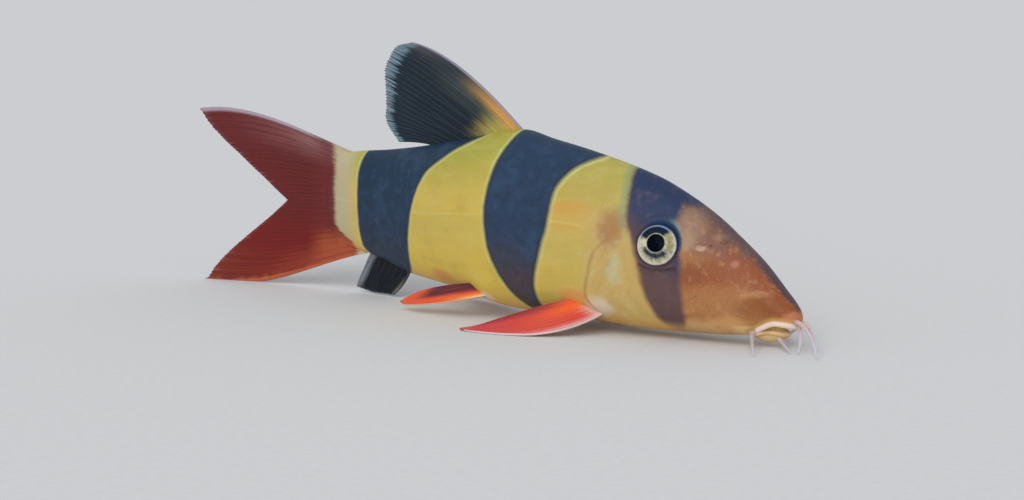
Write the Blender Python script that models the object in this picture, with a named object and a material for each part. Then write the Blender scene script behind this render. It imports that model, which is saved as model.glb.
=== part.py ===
"""A life-size clown loach resting on its fins, nose down, as solids for each named part of the body.

The fish faces +X and stands on the plane z = 0. Its sizes are shares of one driving dimension, the
standard length: snout to the end of the flesh of the tail. A place on the fish is given as
(station, side, height): how far back from the snout, how far out to its left, and how high above
the floor. The spine swings gently from side to side, and every place is carried along that bend.
"""

import math

import bmesh
import bpy
import numpy as np
from mathutils import Matrix, Vector

# Driving dimensions, in metres
STANDARD_LENGTH = 0.100
GAP = 0.0003
EYE_RADIUS = 0.0037
EYE_HALF_DEPTH = 0.0026
EYE_SINK = 0.0015
GILL_COVER_STEP = 0.0005
BROW_LIFT = 0.00025
RAY_HALF_THICKNESS = 0.00040
MEMBRANE_HALF_THICKNESS = 0.00026
UPPER_LIP_RADIUS = 0.00064
LOWER_LIP_RADIUS = 0.00052
BARBEL_ROOT_RADIUS = 0.00055
BARBEL_TIP_RADIUS = 0.00025
GROOVE_RADIUS = 0.00024
FLOOR_BITE = 0.0001

# The swing of the spine: a sine wave of heading that starts behind the head
SWING = math.radians(14)
SWING_START = 0.30
SWING_HALF_WAVE = 0.78

# Outlines of the body, as (station, value) in shares of the standard length
BACK = (
    (0.000, 0.050), (0.010, 0.067), (0.030, 0.090), (0.064, 0.129), (0.096, 0.158), (0.142, 0.195),
    (0.188, 0.224), (0.247, 0.253), (0.368, 0.290), (0.446, 0.308), (0.504, 0.321), (0.612, 0.307),
    (0.700, 0.293), (0.860, 0.275), (0.935, 0.270), (1.000, 0.262), (1.030, 0.250),
)
BELLY = (
    (0.000, 0.036), (0.015, 0.032), (0.040, 0.030), (0.066, 0.0225), (0.090, 0.0155), (0.150, 0.012),
    (0.250, 0.011), (0.366, 0.017), (0.501, 0.020), (0.606, 0.031), (0.694, 0.041), (0.790, 0.050),
    (0.877, 0.070), (0.935, 0.081), (1.000, 0.090), (1.030, 0.102),
)
HALF_WIDTH = (
    (0.000, 0.011), (0.010, 0.019), (0.030, 0.028), (0.060, 0.036), (0.100, 0.045), (0.150, 0.054),
    (0.210, 0.063), (0.270, 0.072), (0.330, 0.079), (0.420, 0.083), (0.520, 0.078), (0.620, 0.067),
    (0.720, 0.053), (0.820, 0.041), (0.920, 0.029), (1.000, 0.015), (1.030, 0.005),
)
# Where a section is widest, as a share of its height, and how square its upper and lower halves are
WAIST = ((0.0, 0.50), (0.10, 0.42), (0.25, 0.38), (0.45, 0.40), (0.75, 0.46), (1.03, 0.50))
UPPER_POWER = ((0.0, 2.2), (0.10, 1.95), (0.30, 1.85), (0.55, 1.80), (0.80, 1.95), (1.03, 2.1))
LOWER_POWER = (
    (0.0, 2.6), (0.06, 2.90), (0.12, 2.60), (0.25, 2.50), (0.45, 2.40), (0.70, 2.10), (1.03, 2.1),
)
# The edge of the gill cover: its station by height, as a share from the belly to the back
GILL_EDGE = (
    (0.00, 0.289), (0.06, 0.300), (0.20, 0.325), (0.33, 0.324), (0.50, 0.307), (0.75, 0.295),
    (1.00, 0.290),
)
TAIL_STALK_START = 0.705
BODY_END = 1.032
BODY_END_ROUNDING = 0.030

# Places of the features of the head, as (station, height)
EYE_PLACE = (0.217, 0.154)
FRONT_NOSTRIL = (0.118, 0.160)
REAR_NOSTRIL = (0.134, 0.153)
NOSTRIL_RADIUS = 0.00055
NOSTRIL_RISE = 0.00035
GROOVE = ((0.252, 0.128), (0.240, 0.118), (0.220, 0.1125), (0.200, 0.112), (0.184, 0.1155))

# Lips: half of each horseshoe, from the front to the corner of the mouth, as (station, side, height)
UPPER_LIP = (
    (0.004, 0.000, 0.0340), (0.011, 0.0140, 0.0365), (0.033, 0.0235, 0.0395), (0.051, 0.0250, 0.0325),
    (0.069, 0.0245, 0.0215),
)
LOWER_LIP = (
    (0.022, 0.000, 0.0215), (0.027, 0.0105, 0.0225), (0.044, 0.0190, 0.0250), (0.066, 0.0225, 0.0200),
)
# The lower jaw: half width, underside and upper side by station
JAW_HALF_WIDTH = (
    (0.021, 0.004), (0.026, 0.011), (0.036, 0.0165), (0.048, 0.0200), (0.062, 0.0225), (0.110, 0.026),
)
JAW_BOTTOM = (
    (0.021, 0.0195), (0.026, 0.0140), (0.036, 0.0085), (0.048, 0.0064), (0.062, 0.0090), (0.078, 0.0150),
    (0.110, 0.019),
)
JAW_TOP = (
    (0.021, 0.0240), (0.026, 0.0290), (0.036, 0.0330), (0.048, 0.0340), (0.062, 0.0340), (0.110, 0.034),
)

# Fins: guide rays as {share across the fin: four Bezier points from root to margin}
DORSAL_GUIDES = {
    0.00: ((0.486, 0, 0.300), (0.585, 0, 0.388), (0.700, 0, 0.456), (0.795, 0, 0.470)),
    0.16: ((0.520, 0, 0.300), (0.620, 0, 0.372), (0.735, 0, 0.436), (0.843, 0, 0.464)),
    0.42: ((0.572, 0, 0.290), (0.665, 0, 0.335), (0.770, 0, 0.385), (0.872, 0, 0.420)),
    0.75: ((0.640, 0, 0.280), (0.712, 0, 0.303), (0.795, 0, 0.328), (0.874, 0, 0.340)),
    1.00: ((0.686, 0, 0.274), (0.735, 0, 0.290), (0.785, 0, 0.2915), (0.836, 0, 0.2895)),
}
ANAL_GUIDES = {
    0.0: ((0.800, 0, 0.066), (0.812, 0, 0.040), (0.830, 0, 0.018), (0.853, 0, -0.002)),
    0.5: ((0.852, 0, 0.082), (0.870, 0, 0.052), (0.888, 0, 0.024), (0.910, 0, -0.002)),
    1.0: ((0.906, 0, 0.092), (0.926, 0, 0.066), (0.942, 0, 0.040), (0.957, 0, 0.010)),
}
TAIL_MIDDLE = 0.168
CAUDAL_GUIDES = {
    0.00: ((0.925, 0, 0.259), (1.060, 0, 0.282), (1.210, 0, 0.366), (1.341, 0, 0.345)),
    0.15: ((0.950, 0, 0.249), (1.060, 0, 0.266), (1.190, 0, 0.320), (1.310, 0, 0.306)),
    0.45: ((0.968, 0, 0.222), (1.060, 0, 0.237), (1.155, 0, 0.256), (1.245, 0, 0.250)),
    0.75: ((0.980, 0, 0.196), (1.045, 0, 0.201), (1.112, 0, 0.205), (1.178, 0, 0.201)),
    1.00: ((0.985, 0, 0.1695), (1.035, 0, 0.1695), (1.085, 0, 0.1695), (1.133, 0, 0.1695)),
}
PECTORAL_GUIDES = {
    0.0: ((0.300, 0.040, 0.046), (0.330, 0.100, 0.010), (0.400, 0.152, -0.009), (0.500, 0.158, -0.002)),
    0.5: ((0.318, 0.045, 0.054), (0.372, 0.095, 0.034), (0.436, 0.135, 0.010), (0.512, 0.152, 0.000)),
    1.0: ((0.336, 0.050, 0.061), (0.390, 0.088, 0.052), (0.440, 0.113, 0.031), (0.490, 0.136, 0.007)),
}
PELVIC_GUIDES = {
    0.0: ((0.530, 0.035, 0.046), (0.575, 0.070, 0.032), (0.645, 0.090, 0.016), (0.716, 0.089, 0.011)),
    0.5: ((0.550, 0.042, 0.053), (0.600, 0.068, 0.044), (0.662, 0.084, 0.029), (0.730, 0.086, 0.015)),
    1.0: ((0.570, 0.048, 0.060), (0.610, 0.064, 0.057), (0.652, 0.071, 0.048), (0.694, 0.077, 0.034)),
}
# How many rays each fin carries, and the rows of its mesh from root to margin
DORSAL_RAYS, ANAL_RAYS, CAUDAL_LOBE_RAYS, PECTORAL_RAYS, PELVIC_RAYS = 12, 8, 10, 13, 8
FIN_ROWS = 7
FLOOR_EASE = 0.004

# Barbels: the root, two points that bend it, and the tip, which touches the floor in the long ones
BARBELS = {
    "rostral_outer_right": (
        (0.012, -0.010, 0.044), (-0.014, -0.026, 0.047), (-0.040, -0.050, 0.030), (-0.054, -0.072, 0.003),
    ),
    "rostral_outer_left": (
        (0.012, 0.010, 0.044), (0.010, 0.036, 0.036), (0.034, 0.052, 0.018), (0.056, 0.060, 0.003),
    ),
    "rostral_inner_right": (
        (0.010, -0.005, 0.041), (-0.006, -0.012, 0.036), (-0.012, -0.028, 0.018), (-0.013, -0.046, 0.003),
    ),
    "rostral_inner_left": (
        (0.010, 0.005, 0.041), (-0.014, 0.004, 0.042), (-0.026, -0.004, 0.022), (-0.030, -0.014, 0.003),
    ),
    "maxillary_right": (
        (0.068, -0.019, 0.024), (0.066, -0.042, 0.026), (0.048, -0.072, 0.016), (0.034, -0.098, 0.003),
    ),
    "maxillary_left": (
        (0.068, 0.019, 0.024), (0.068, 0.042, 0.026), (0.088, 0.062, 0.014), (0.104, 0.070, 0.003),
    ),
    "mandibular_right": (
        (0.036, -0.007, 0.017), (0.026, -0.016, 0.013), (0.012, -0.032, 0.008), (-0.002, -0.047, 0.003),
    ),
    "mandibular_left": (
        (0.036, 0.007, 0.017), (0.030, 0.016, 0.012), (0.028, 0.024, 0.007), (0.028, 0.032, 0.003),
    ),
}
BARBEL_STEPS = 10
BARBEL_SIDES = 7

BODY_SIDES = 44
FLANK_CROWDING = 0.8
HEAD_RINGS = 30
HEAD_RING_CROWDING = 1.35
TRUNK_RINGS = 21
STALK_RINGS = 15

# Colours, as linear red, green and blue
DARK_BAND = (0.030, 0.045, 0.075)
YELLOW = (0.62, 0.50, 0.11)
HEAD_ORANGE = (0.55, 0.27, 0.10)
FIN_RED = (0.55, 0.06, 0.03)
FIN_BLACK = (0.025, 0.035, 0.045)
EYE_RING = (0.55, 0.52, 0.32)
BARBEL_PINK = (0.70, 0.42, 0.33)


def clear_scene():
    for obj in list(bpy.data.objects):
        bpy.data.objects.remove(obj)


def through(knots, at):
    """A smooth curve through the knots, with no overshoot between them, read at every value of at."""
    xs, ys = np.array(knots, float).T
    rise = np.diff(ys) / np.diff(xs)
    product, total = rise[:-1] * rise[1:], rise[:-1] + rise[1:]
    inner = np.divide(2 * product, total, out=np.zeros_like(product), where=product > 0)
    slope = np.concatenate([rise[:1], inner, rise[-1:]])
    at = np.asarray(at, float)
    i = np.clip(np.searchsorted(xs, at) - 1, 0, len(xs) - 2)
    width = xs[i + 1] - xs[i]
    t = np.clip((at - xs[i]) / width, 0, 1)
    return (
        ys[i] * (1 + 2 * t) * (1 - t) ** 2
        + ys[i + 1] * t * t * (3 - 2 * t)
        + width * (slope[i] * t * (1 - t) ** 2 - slope[i + 1] * t * t * (1 - t))
    )


def smooth_step(low, high, value):
    t = np.clip((value - low) / (high - low), 0, 1)
    return t * t * (3 - 2 * t)


def spine_table():
    """Stations with the spine's heading and place at each, found by adding up short steps."""
    station = np.linspace(-0.1, 1.5, 801)
    lag = np.clip((station - SWING_START) / SWING_HALF_WAVE, 0, 1.5)
    heading = SWING * np.sin(math.pi * lag) * np.minimum(3 * lag, 1)
    step = station[1] - station[0]
    forward = np.concatenate([[0], np.cumsum(np.cos(heading[1:]) * step)])
    sideways = np.concatenate([[0], np.cumsum(np.sin(heading[1:]) * step)])
    start = np.interp(0, station, forward)
    return station, heading, start - forward, sideways


SPINE = spine_table()


def place(station, side, height):
    """Metres, from shares of the standard length, with the point carried along the bend of the spine."""
    stations, headings, xs, ys = SPINE
    heading = np.interp(station, stations, headings)
    x = np.interp(station, stations, xs) + side * np.sin(heading)
    y = np.interp(station, stations, ys) + side * np.cos(heading)
    return np.stack(np.broadcast_arrays(x, y, height), axis=-1) * STANDARD_LENGTH


def section(station):
    """Half width, height of the waist, and the reach above and below it."""
    top, bottom = through(BACK, station), through(BELLY, station)
    waist = bottom + (top - bottom) * through(WAIST, station)
    return through(HALF_WIDTH, station), waist, top - waist, waist - bottom


def height_share(sine):
    """Where a point of a section behind the head lies between belly and back."""
    low_power, high_power, waist = LOWER_POWER[3][1], UPPER_POWER[2][1], WAIST[2][1]
    reach = np.abs(sine) ** (2 / np.where(sine > 0, high_power, low_power))
    return np.where(sine > 0, waist + (1 - waist) * reach, waist * (1 - reach))


def gill_edge(angle):
    return through(GILL_EDGE, height_share(np.sin(angle)))


def head_lift(station, angle, height):
    """How far the gill cover's edge and the eye's rim stand out of the plain section, in metres."""
    edge, sine = gill_edge(angle), np.sin(angle)
    near_edge = smooth_step(edge - 0.055, edge - 0.004, station)
    window = smooth_step(-0.80, -0.45, sine) * smooth_step(0.60, 0.25, sine)
    away = np.hypot(station - EYE_PLACE[0], height - EYE_PLACE[1]) * STANDARD_LENGTH
    brow = np.exp(-(((away - 1.18 * EYE_RADIUS) / (0.30 * EYE_RADIUS)) ** 2))
    return GILL_COVER_STEP * near_edge * window + BROW_LIFT * brow


def skin(station, angle, grow=0.0, with_head=False):
    """Points of the body's surface. A section is two half superellipses that meet at the waist, pushed
    out along their own normal by grow metres and, on the head, by the relief of its features."""
    half_width, waist, above, below = section(station)
    sine, cosine = np.sin(angle), np.cos(angle)
    reach = np.where(sine > 0, above, below)
    power = np.where(sine > 0, through(UPPER_POWER, station), through(LOWER_POWER, station))
    side = half_width * np.sign(cosine) * np.abs(cosine) ** (2 / power)
    height = waist + reach * np.sign(sine) * np.abs(sine) ** (2 / power)
    normal_side = np.sign(cosine) * np.abs(cosine) ** (2 - 2 / power) / half_width
    normal_up = np.sign(sine) * np.abs(sine) ** (2 - 2 / power) / reach
    length = np.hypot(normal_side, normal_up)
    lift = grow + (head_lift(station, angle, height) if with_head else 0.0)
    push = lift / STANDARD_LENGTH / length
    return place(station, side + normal_side * push, height + normal_up * push)


def side_at(station, height):
    """How far out the flank lies at this height."""
    half_width, waist, above, below = section(station)
    reach, knots = (above, UPPER_POWER) if height > waist else (below, LOWER_POWER)
    power = through(knots, station)
    return half_width * (1 - (abs(height - waist) / reach) ** power) ** (1 / power)


def new_object(name, points, faces, colour=None, roughness=0.35):
    mesh = bpy.data.meshes.new(name)
    mesh.from_pydata([tuple(p) for p in np.reshape(points, (-1, 3))], [], faces)
    mesh.validate()
    obj = bpy.data.objects.new(name, mesh)
    bpy.context.scene.collection.objects.link(obj)
    if colour:
        mesh.materials.append(finish(name, colour, roughness))
    return obj


def finish(name, colour, roughness):
    material = bpy.data.materials.new(name)
    material.use_nodes = True
    shader = material.node_tree.nodes["Principled BSDF"]
    shader.inputs["Base Color"].default_value = (*colour, 1)
    shader.inputs["Roughness"].default_value = roughness
    shader.inputs["Metallic"].default_value = 0.0
    return material


def ring_faces(rings, sides):
    """Triangles between closed rings of points, each ring following the one before it."""
    faces = []
    for i in range(rings - 1):
        for j in range(sides):
            a = i * sides + j
            b = i * sides + (j + 1) % sides
            faces += [(a, b, b + sides), (a, b + sides, a + sides)]
    return faces


def end_across(sides):
    """Triangles over an end ring, drawn between each of its points and the point's mirror image."""
    quarter, faces = sides // 4, []
    for j in range(-quarter, quarter):
        a, b = j % sides, (j + 1) % sides
        c, d = (2 * quarter - j - 1) % sides, (2 * quarter - j) % sides
        faces += [face for face in ((a, b, c), (a, c, d)) if len(set(face)) == 3]
    return np.array(faces)


def closed_tube(name, rings, tips=None, colour=None):
    """A closed solid from an array of rings. Each end is a fan round its tip, or, with no tips given,
    a surface that is straight from side to side."""
    count, sides, _ = rings.shape
    points, faces = rings.reshape(-1, 3), ring_faces(count, sides)
    last = (count - 1) * sides
    if tips is None:
        end = end_across(sides)
        faces += [tuple(face) for face in end[:, ::-1]] + [tuple(face) for face in end + last]
    else:
        points = np.concatenate([points, tips])
        for j in range(sides):
            k = (j + 1) % sides
            faces += [(count * sides, k, j), (count * sides + 1, last + j, last + k)]
    obj = new_object(name, points, faces, colour)
    face_outwards(obj)
    return obj


def face_outwards(obj):
    """Turns the whole shell round if it encloses a negative volume."""
    work = bmesh.new()
    work.from_mesh(obj.data)
    if work.calc_volume(signed=True) < 0:
        bmesh.ops.reverse_faces(work, faces=work.faces)
    work.to_mesh(obj.data)
    work.free()


def body_section(name, length, grow=0.0):
    """A length of the body between two edges, each given as a station for every angle round it. A
    grown copy stands out by grow all round, its two ends included."""
    starts, ends, rings, colour, with_head = BODY_LENGTHS[length]
    turn = np.linspace(0, 2 * math.pi, BODY_SIDES, endpoint=False)
    angle = np.arctan2(FLANK_CROWDING * np.sin(turn), np.cos(turn))
    share = np.linspace(0, 1, rings)[:, None] ** (HEAD_RING_CROWDING if with_head else 1.0)
    first, last = starts(angle) - grow / STANDARD_LENGTH, ends(angle) + grow / STANDARD_LENGTH
    station = first + (last - first) * share
    points = skin(station, np.broadcast_to(angle, station.shape), grow, with_head)
    return closed_tube(name, points, colour=None if grow else colour)


def snout_edge(angle):
    return np.zeros_like(angle)


def trunk_start(angle):
    return gill_edge(angle) + GAP / STANDARD_LENGTH


def trunk_end(angle):
    return np.full_like(angle, TAIL_STALK_START)


def stalk_start(angle):
    return trunk_end(angle) + GAP / STANDARD_LENGTH


def flesh_end(angle):
    """The end of the flesh is rounded like the fan of bones under it."""
    return BODY_END - BODY_END_ROUNDING * np.abs(np.sin(angle)) ** 3


BODY_LENGTHS = {
    "head": (snout_edge, gill_edge, HEAD_RINGS, HEAD_ORANGE, True),
    "trunk": (trunk_start, trunk_end, TRUNK_RINGS, YELLOW, False),
    "tail_stalk": (stalk_start, flesh_end, STALK_RINGS, DARK_BAND, False),
}


def evaluated(obj):
    """Replaces an object's mesh by what its modifiers make of it."""
    graph = bpy.context.evaluated_depsgraph_get()
    mesh = bpy.data.meshes.new_from_object(obj.evaluated_get(graph))
    obj.modifiers.clear()
    obj.data = mesh


def combine(target, pieces, operation, keep=False):
    """One Boolean of the target with every piece. The pieces are removed after it unless kept."""
    group = bpy.data.collections.new("pieces")
    bpy.context.scene.collection.children.link(group)
    for piece in pieces:
        group.objects.link(piece)
    boolean = target.modifiers.new("combine", "BOOLEAN")
    boolean.operation = operation
    boolean.operand_type = "COLLECTION"
    boolean.collection = group
    boolean.solver = "EXACT"
    evaluated(target)
    for piece in pieces:
        group.objects.unlink(piece)
        if not keep:
            bpy.data.objects.remove(piece)
    bpy.data.collections.remove(group)
    keep_largest_shell(target)
    return target


def keep_largest_shell(obj):
    """Drops every closed surface of the mesh but the one with the most faces."""
    work = bmesh.new()
    work.from_mesh(obj.data)
    bmesh.ops.triangulate(work, faces=work.faces)
    bmesh.ops.dissolve_degenerate(work, dist=1e-7, edges=work.edges)
    unseen, shells = set(work.verts), []
    while unseen:
        shell, reached = set(), [unseen.pop()]
        while reached:
            vert = reached.pop()
            shell.add(vert)
            linked = {edge.other_vert(vert) for edge in vert.link_edges} & unseen
            unseen -= linked
            reached += linked
        shells.append(shell)
    largest = max(shells, key=len)
    loose = [vert for vert in work.verts if vert not in largest]
    bmesh.ops.delete(work, geom=loose, context="VERTS")
    work.to_mesh(obj.data)
    work.free()


def bezier(points, t):
    """The cubic Bezier curve of four points, which may be arrays of points."""
    a, b, c, d = points
    s = 1 - t
    return a * s**3 + 3 * b * s * s * t + 3 * c * s * t * t + d * t**3


def guides_at(guides, share):
    """The four Bezier points at each share across the fin, as an array (4, share, 3)."""
    shares = sorted(guides)
    table = np.array([guides[key] for key in shares], float)
    blended = [
        [through(list(zip(shares, table[:, point, axis])), share) for axis in range(3)]
        for point in range(4)
    ]
    return np.array(blended).transpose(0, 2, 1)


def fin_sheet(guides, columns, rows, side=1, adjust=None):
    """The middle sheet of a fin, as world points (rows, columns, 3)."""
    across = np.linspace(0, 1, columns)
    along = np.linspace(0, 1, rows)
    control = guides_at(guides, across)
    points = bezier(control[:, None], along[:, None, None])
    if adjust:
        points = adjust(points)
    return place(points[..., 0], side * points[..., 1], points[..., 2])


def sheet_normals(sheet):
    """Unit normals of a sheet from its differences along and across."""
    along = np.gradient(sheet, axis=0)
    across = np.gradient(sheet, axis=1)
    normal = np.cross(along, across)
    return normal / np.linalg.norm(normal, axis=-1, keepdims=True)


def make_fin(name, guides, rays, colour, side=1, adjust=None):
    """A fin as one closed blade. Every second column is the crest of a ray, which fades towards the
    margin, and both faces are split into triangles alike."""
    columns, rows = 2 * rays - 1, FIN_ROWS
    sheet = fin_sheet(guides, columns, rows, side, adjust)
    crest = np.where(np.arange(columns) % 2 == 0, 1.0, 0.0)
    fade = 1 - 0.75 * np.linspace(0, 1, rows)[:, None] ** 2
    half = MEMBRANE_HALF_THICKNESS + (RAY_HALF_THICKNESS - MEMBRANE_HALF_THICKNESS) * crest * fade
    offset = sheet_normals(sheet) * half[..., None]
    points = np.concatenate([(sheet + offset).reshape(-1, 3), (sheet - offset).reshape(-1, 3)])
    faces, back = [], rows * columns
    for i in range(rows - 1):
        for j in range(columns - 1):
            a, b = i * columns + j, i * columns + j + 1
            c, d = b + columns, a + columns
            faces += [(a, b, c), (a, c, d)]
            faces += [(back + a, back + c, back + b), (back + a, back + d, back + c)]
    rim = list(range(columns))
    rim += [i * columns + columns - 1 for i in range(1, rows)]
    rim += [(rows - 1) * columns + j for j in range(columns - 2, -1, -1)]
    rim += [i * columns for i in range(rows - 2, 0, -1)]
    for a, b in zip(rim, rim[1:] + rim[:1]):
        faces += [(a, back + a, back + b), (a, back + b, b)]
    fin = new_object(name, points, faces, colour)
    face_outwards(fin)
    return fin


def eased(height, rest):
    """The height, but bent smoothly so that it never falls below rest."""
    over = height - rest
    return rest + (over + np.sqrt(over**2 + FLOOR_EASE**2)) / 2


def rest_on_floor(points):
    """Lays what would dip below the floor on it, sunk by a bite that the floor then trims flat."""
    points = points.copy()
    rest = (MEMBRANE_HALF_THICKNESS - FLOOR_BITE) / STANDARD_LENGTH
    points[..., 2] = eased(points[..., 2], rest)
    return points


def lower_lobe(points):
    """Turns the tail's upper lobe into the lower one, whose edge bends to lie along the floor."""
    points = points.copy()
    lowered = 2 * TAIL_MIDDLE - points[..., 2]
    easing = smooth_step(0.12, 0.03, lowered)
    points[..., 2] = lowered + (eased(lowered, -FLOOR_BITE / STANDARD_LENGTH) - lowered) * easing
    return points


def sweep(name, path, radii, sides, colour=None):
    """A round solid of changing radius along a path of world points, closed at both ends."""
    ahead = np.gradient(path, axis=0)
    ahead /= np.linalg.norm(ahead, axis=1, keepdims=True)
    up = np.array([0.0, 0.0, 1.0]) if abs(ahead[0][2]) < 0.9 else np.array([1.0, 0.0, 0.0])
    across = np.cross(ahead, up)
    across /= np.linalg.norm(across, axis=1, keepdims=True)
    over = np.cross(across, ahead)
    turn = np.linspace(0, 2 * math.pi, sides, endpoint=False)[None, :, None]
    ring = across[:, None] * np.cos(turn) + over[:, None] * np.sin(turn)
    rings = path[:, None] + ring * np.asarray(radii)[:, None, None]
    return closed_tube(name, rings, (path[0], path[-1]), colour)


def lip(name, half, radius):
    """A lip as a horseshoe roll, fullest in front and thin at the corners of the mouth."""
    left = np.array(half)
    right = left[:0:-1] * (1, -1, 1)
    knots = np.concatenate([right, left])
    mark = np.linspace(-1, 1, len(knots))
    fine = np.linspace(-1, 1, 21)
    station, side, height = (through(list(zip(mark, knots[:, axis])), fine) for axis in range(3))
    radii = radius * (1 - 0.45 * fine**4)
    return sweep(name, place(station, side, height), radii, 10)


def jaw(grow=0.0):
    """The lower jaw, a shallow scoop that carries the lower lip."""
    reach = grow / STANDARD_LENGTH
    station = np.linspace(JAW_TOP[0][0], JAW_TOP[-1][0], 9)[:, None]
    turn = np.linspace(0, 2 * math.pi, 16, endpoint=False)[None]
    top, bottom = through(JAW_TOP, station) + reach, through(JAW_BOTTOM, station) - reach
    side = (through(JAW_HALF_WIDTH, station) + reach) * np.cos(turn)
    height = (top + bottom) / 2 + (top - bottom) / 2 * np.sin(turn)
    rings = place(station - reach, side, height)
    return closed_tube("jaw", rings, (rings[0].mean(axis=0), rings[-1].mean(axis=0)))


def skin_frame(station, height, side):
    """A point on the flank of the head, and the outward direction there."""
    def flank(s, z):
        return place(s, side * side_at(s, z), z)

    step = 0.01
    surface = flank(station, height)
    ahead, above = flank(station - step, height) - surface, flank(station, height + step) - surface
    return Vector(surface), Vector(np.cross(ahead, above) * -side).normalized()


def eye_frame(side):
    """The eye's centre, and the direction in which it looks."""
    surface, out = skin_frame(*EYE_PLACE, side)
    return surface - out * EYE_SINK, out


def ellipsoid(name, centre, out, radius, half_depth, rings=12, sides=22, colour=None):
    """A ball flattened along the direction out."""
    work = bmesh.new()
    bmesh.ops.create_uvsphere(work, u_segments=sides, v_segments=rings, radius=1.0)
    bmesh.ops.triangulate(work, faces=work.faces)
    bmesh.ops.transform(work, matrix=Matrix.Diagonal((radius, radius, half_depth, 1)), verts=work.verts)
    mesh = bpy.data.meshes.new(name)
    work.to_mesh(mesh)
    work.free()
    obj = bpy.data.objects.new(name, mesh)
    obj.location = centre
    obj.rotation_euler = out.to_track_quat("Z", "Y").to_euler()
    bpy.context.scene.collection.objects.link(obj)
    if colour:
        mesh.materials.append(finish(name, colour, 0.1))
    return obj


def peg(name, spot, side, radius, rise, reach):
    """A short round peg that stands out of the skin at a spot of the head."""
    surface, out = skin_frame(*spot, side)
    path = np.array([surface - out * reach, surface, surface + out * rise])
    return sweep(name, path, [radius * 1.25, radius * 1.1, radius], 10)


def groove(side):
    """The slit under the eye, in which a short spine lies folded."""
    spots = [skin_frame(*spot, side) for spot in GROOVE]
    path = np.array([surface + out * 0.6 * GROOVE_RADIUS for surface, out in spots])
    return sweep("groove", path, GROOVE_RADIUS * np.array([0.5, 0.9, 1.0, 0.9, 0.5]), 6)


def lips(grow=0.0):
    return [
        lip("upper_lip", UPPER_LIP, UPPER_LIP_RADIUS + grow),
        lip("lower_lip", LOWER_LIP, LOWER_LIP_RADIUS + grow),
    ]


def make_head():
    head = body_section("head", "head")
    sides = (-1, 1)
    tubes = [
        peg("tube", FRONT_NOSTRIL, side, NOSTRIL_RADIUS, NOSTRIL_RISE, NOSTRIL_RADIUS)
        for side in sides
    ]
    combine(head, [jaw(), *lips(), *tubes], "UNION")
    cuts = []
    for side in sides:
        centre, out = eye_frame(side)
        cuts.append(ellipsoid("socket", centre, out, EYE_RADIUS + GAP, EYE_HALF_DEPTH + GAP))
        for spot in (FRONT_NOSTRIL, REAR_NOSTRIL):
            cuts.append(peg("hole", spot, side, NOSTRIL_RADIUS / 2, 2 * NOSTRIL_RISE, 0.0003))
        cuts.append(groove(side))
    return combine(head, cuts, "DIFFERENCE")


def make_eyes():
    for name, side in (("eye_left", 1), ("eye_right", -1)):
        centre, out = eye_frame(side)
        ellipsoid(name, centre, out, EYE_RADIUS, EYE_HALF_DEPTH, colour=EYE_RING)


def make_fins(grown, floor):
    """Every fin is made with its root inside the body, then cut back from the skin by the gap."""
    head, trunk, stalk = grown
    median = (
        ("dorsal_fin", DORSAL_GUIDES, DORSAL_RAYS, FIN_BLACK, None, [trunk, stalk]),
        ("anal_fin", ANAL_GUIDES, ANAL_RAYS, FIN_BLACK, None, [stalk, floor]),
        ("caudal_fin_upper", CAUDAL_GUIDES, CAUDAL_LOBE_RAYS, FIN_RED, None, [stalk]),
        ("caudal_fin_lower", CAUDAL_GUIDES, CAUDAL_LOBE_RAYS, FIN_RED, lower_lobe, [stalk, floor]),
    )
    for name, guides, rays, colour, adjust, cutters in median:
        cut_in_turn(make_fin(name, guides, rays, colour, adjust=adjust), cutters)
    for hand, side in (("left", 1), ("right", -1)):
        fin = make_fin(
            f"pectoral_fin_{hand}", PECTORAL_GUIDES, PECTORAL_RAYS, FIN_RED, side, rest_on_floor
        )
        cut_in_turn(fin, [head, trunk, floor])
        fin = make_fin(f"pelvic_fin_{hand}", PELVIC_GUIDES, PELVIC_RAYS, FIN_RED, side)
        cut_in_turn(fin, [trunk])


def cut_in_turn(target, cutters):
    for cutter in cutters:
        combine(target, [cutter], "DIFFERENCE", keep=True)


def make_barbels(cutters):
    """Four pairs of feelers, each a tapered round that starts inside the lips or the snout."""
    t = np.linspace(0, 1, BARBEL_STEPS)[:, None]
    radii = BARBEL_ROOT_RADIUS + (BARBEL_TIP_RADIUS - BARBEL_ROOT_RADIUS) * t[:, 0]
    for kind, points in BARBELS.items():
        path = bezier(np.array(points, float)[:, None], t)
        barbel = sweep(f"barbel_{kind}", place(*path.T), radii, BARBEL_SIDES, BARBEL_PINK)
        cut_in_turn(barbel, cutters)


def floor_block():
    """The space under the floor, which trims the fins that rest on it to small flats."""
    work = bmesh.new()
    bmesh.ops.create_cube(work, size=1.0)
    mesh = bpy.data.meshes.new("floor")
    work.to_mesh(mesh)
    work.free()
    mesh.transform(Matrix.Translation((0, 0, -0.5)))
    obj = bpy.data.objects.new("floor", mesh)
    bpy.context.scene.collection.objects.link(obj)
    return obj


def centre_on_floor():
    """Hangs every part on one empty, placed so that the fish's box is centred over the origin."""
    parts = [obj for obj in bpy.data.objects if obj.type == "MESH"]
    bpy.context.view_layer.update()
    corners = np.array([part.matrix_world @ v.co for part in parts for v in part.data.vertices])
    middle = (corners.min(axis=0) + corners.max(axis=0)) / 2
    fish = bpy.data.objects.new("clown_loach", None)
    fish.location = (-middle[0], -middle[1], 0)
    bpy.context.scene.collection.objects.link(fish)
    for part in parts:
        part.parent = fish
        part.data.shade_smooth()
        part.data.set_sharp_from_angle(angle=math.radians(40))


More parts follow.
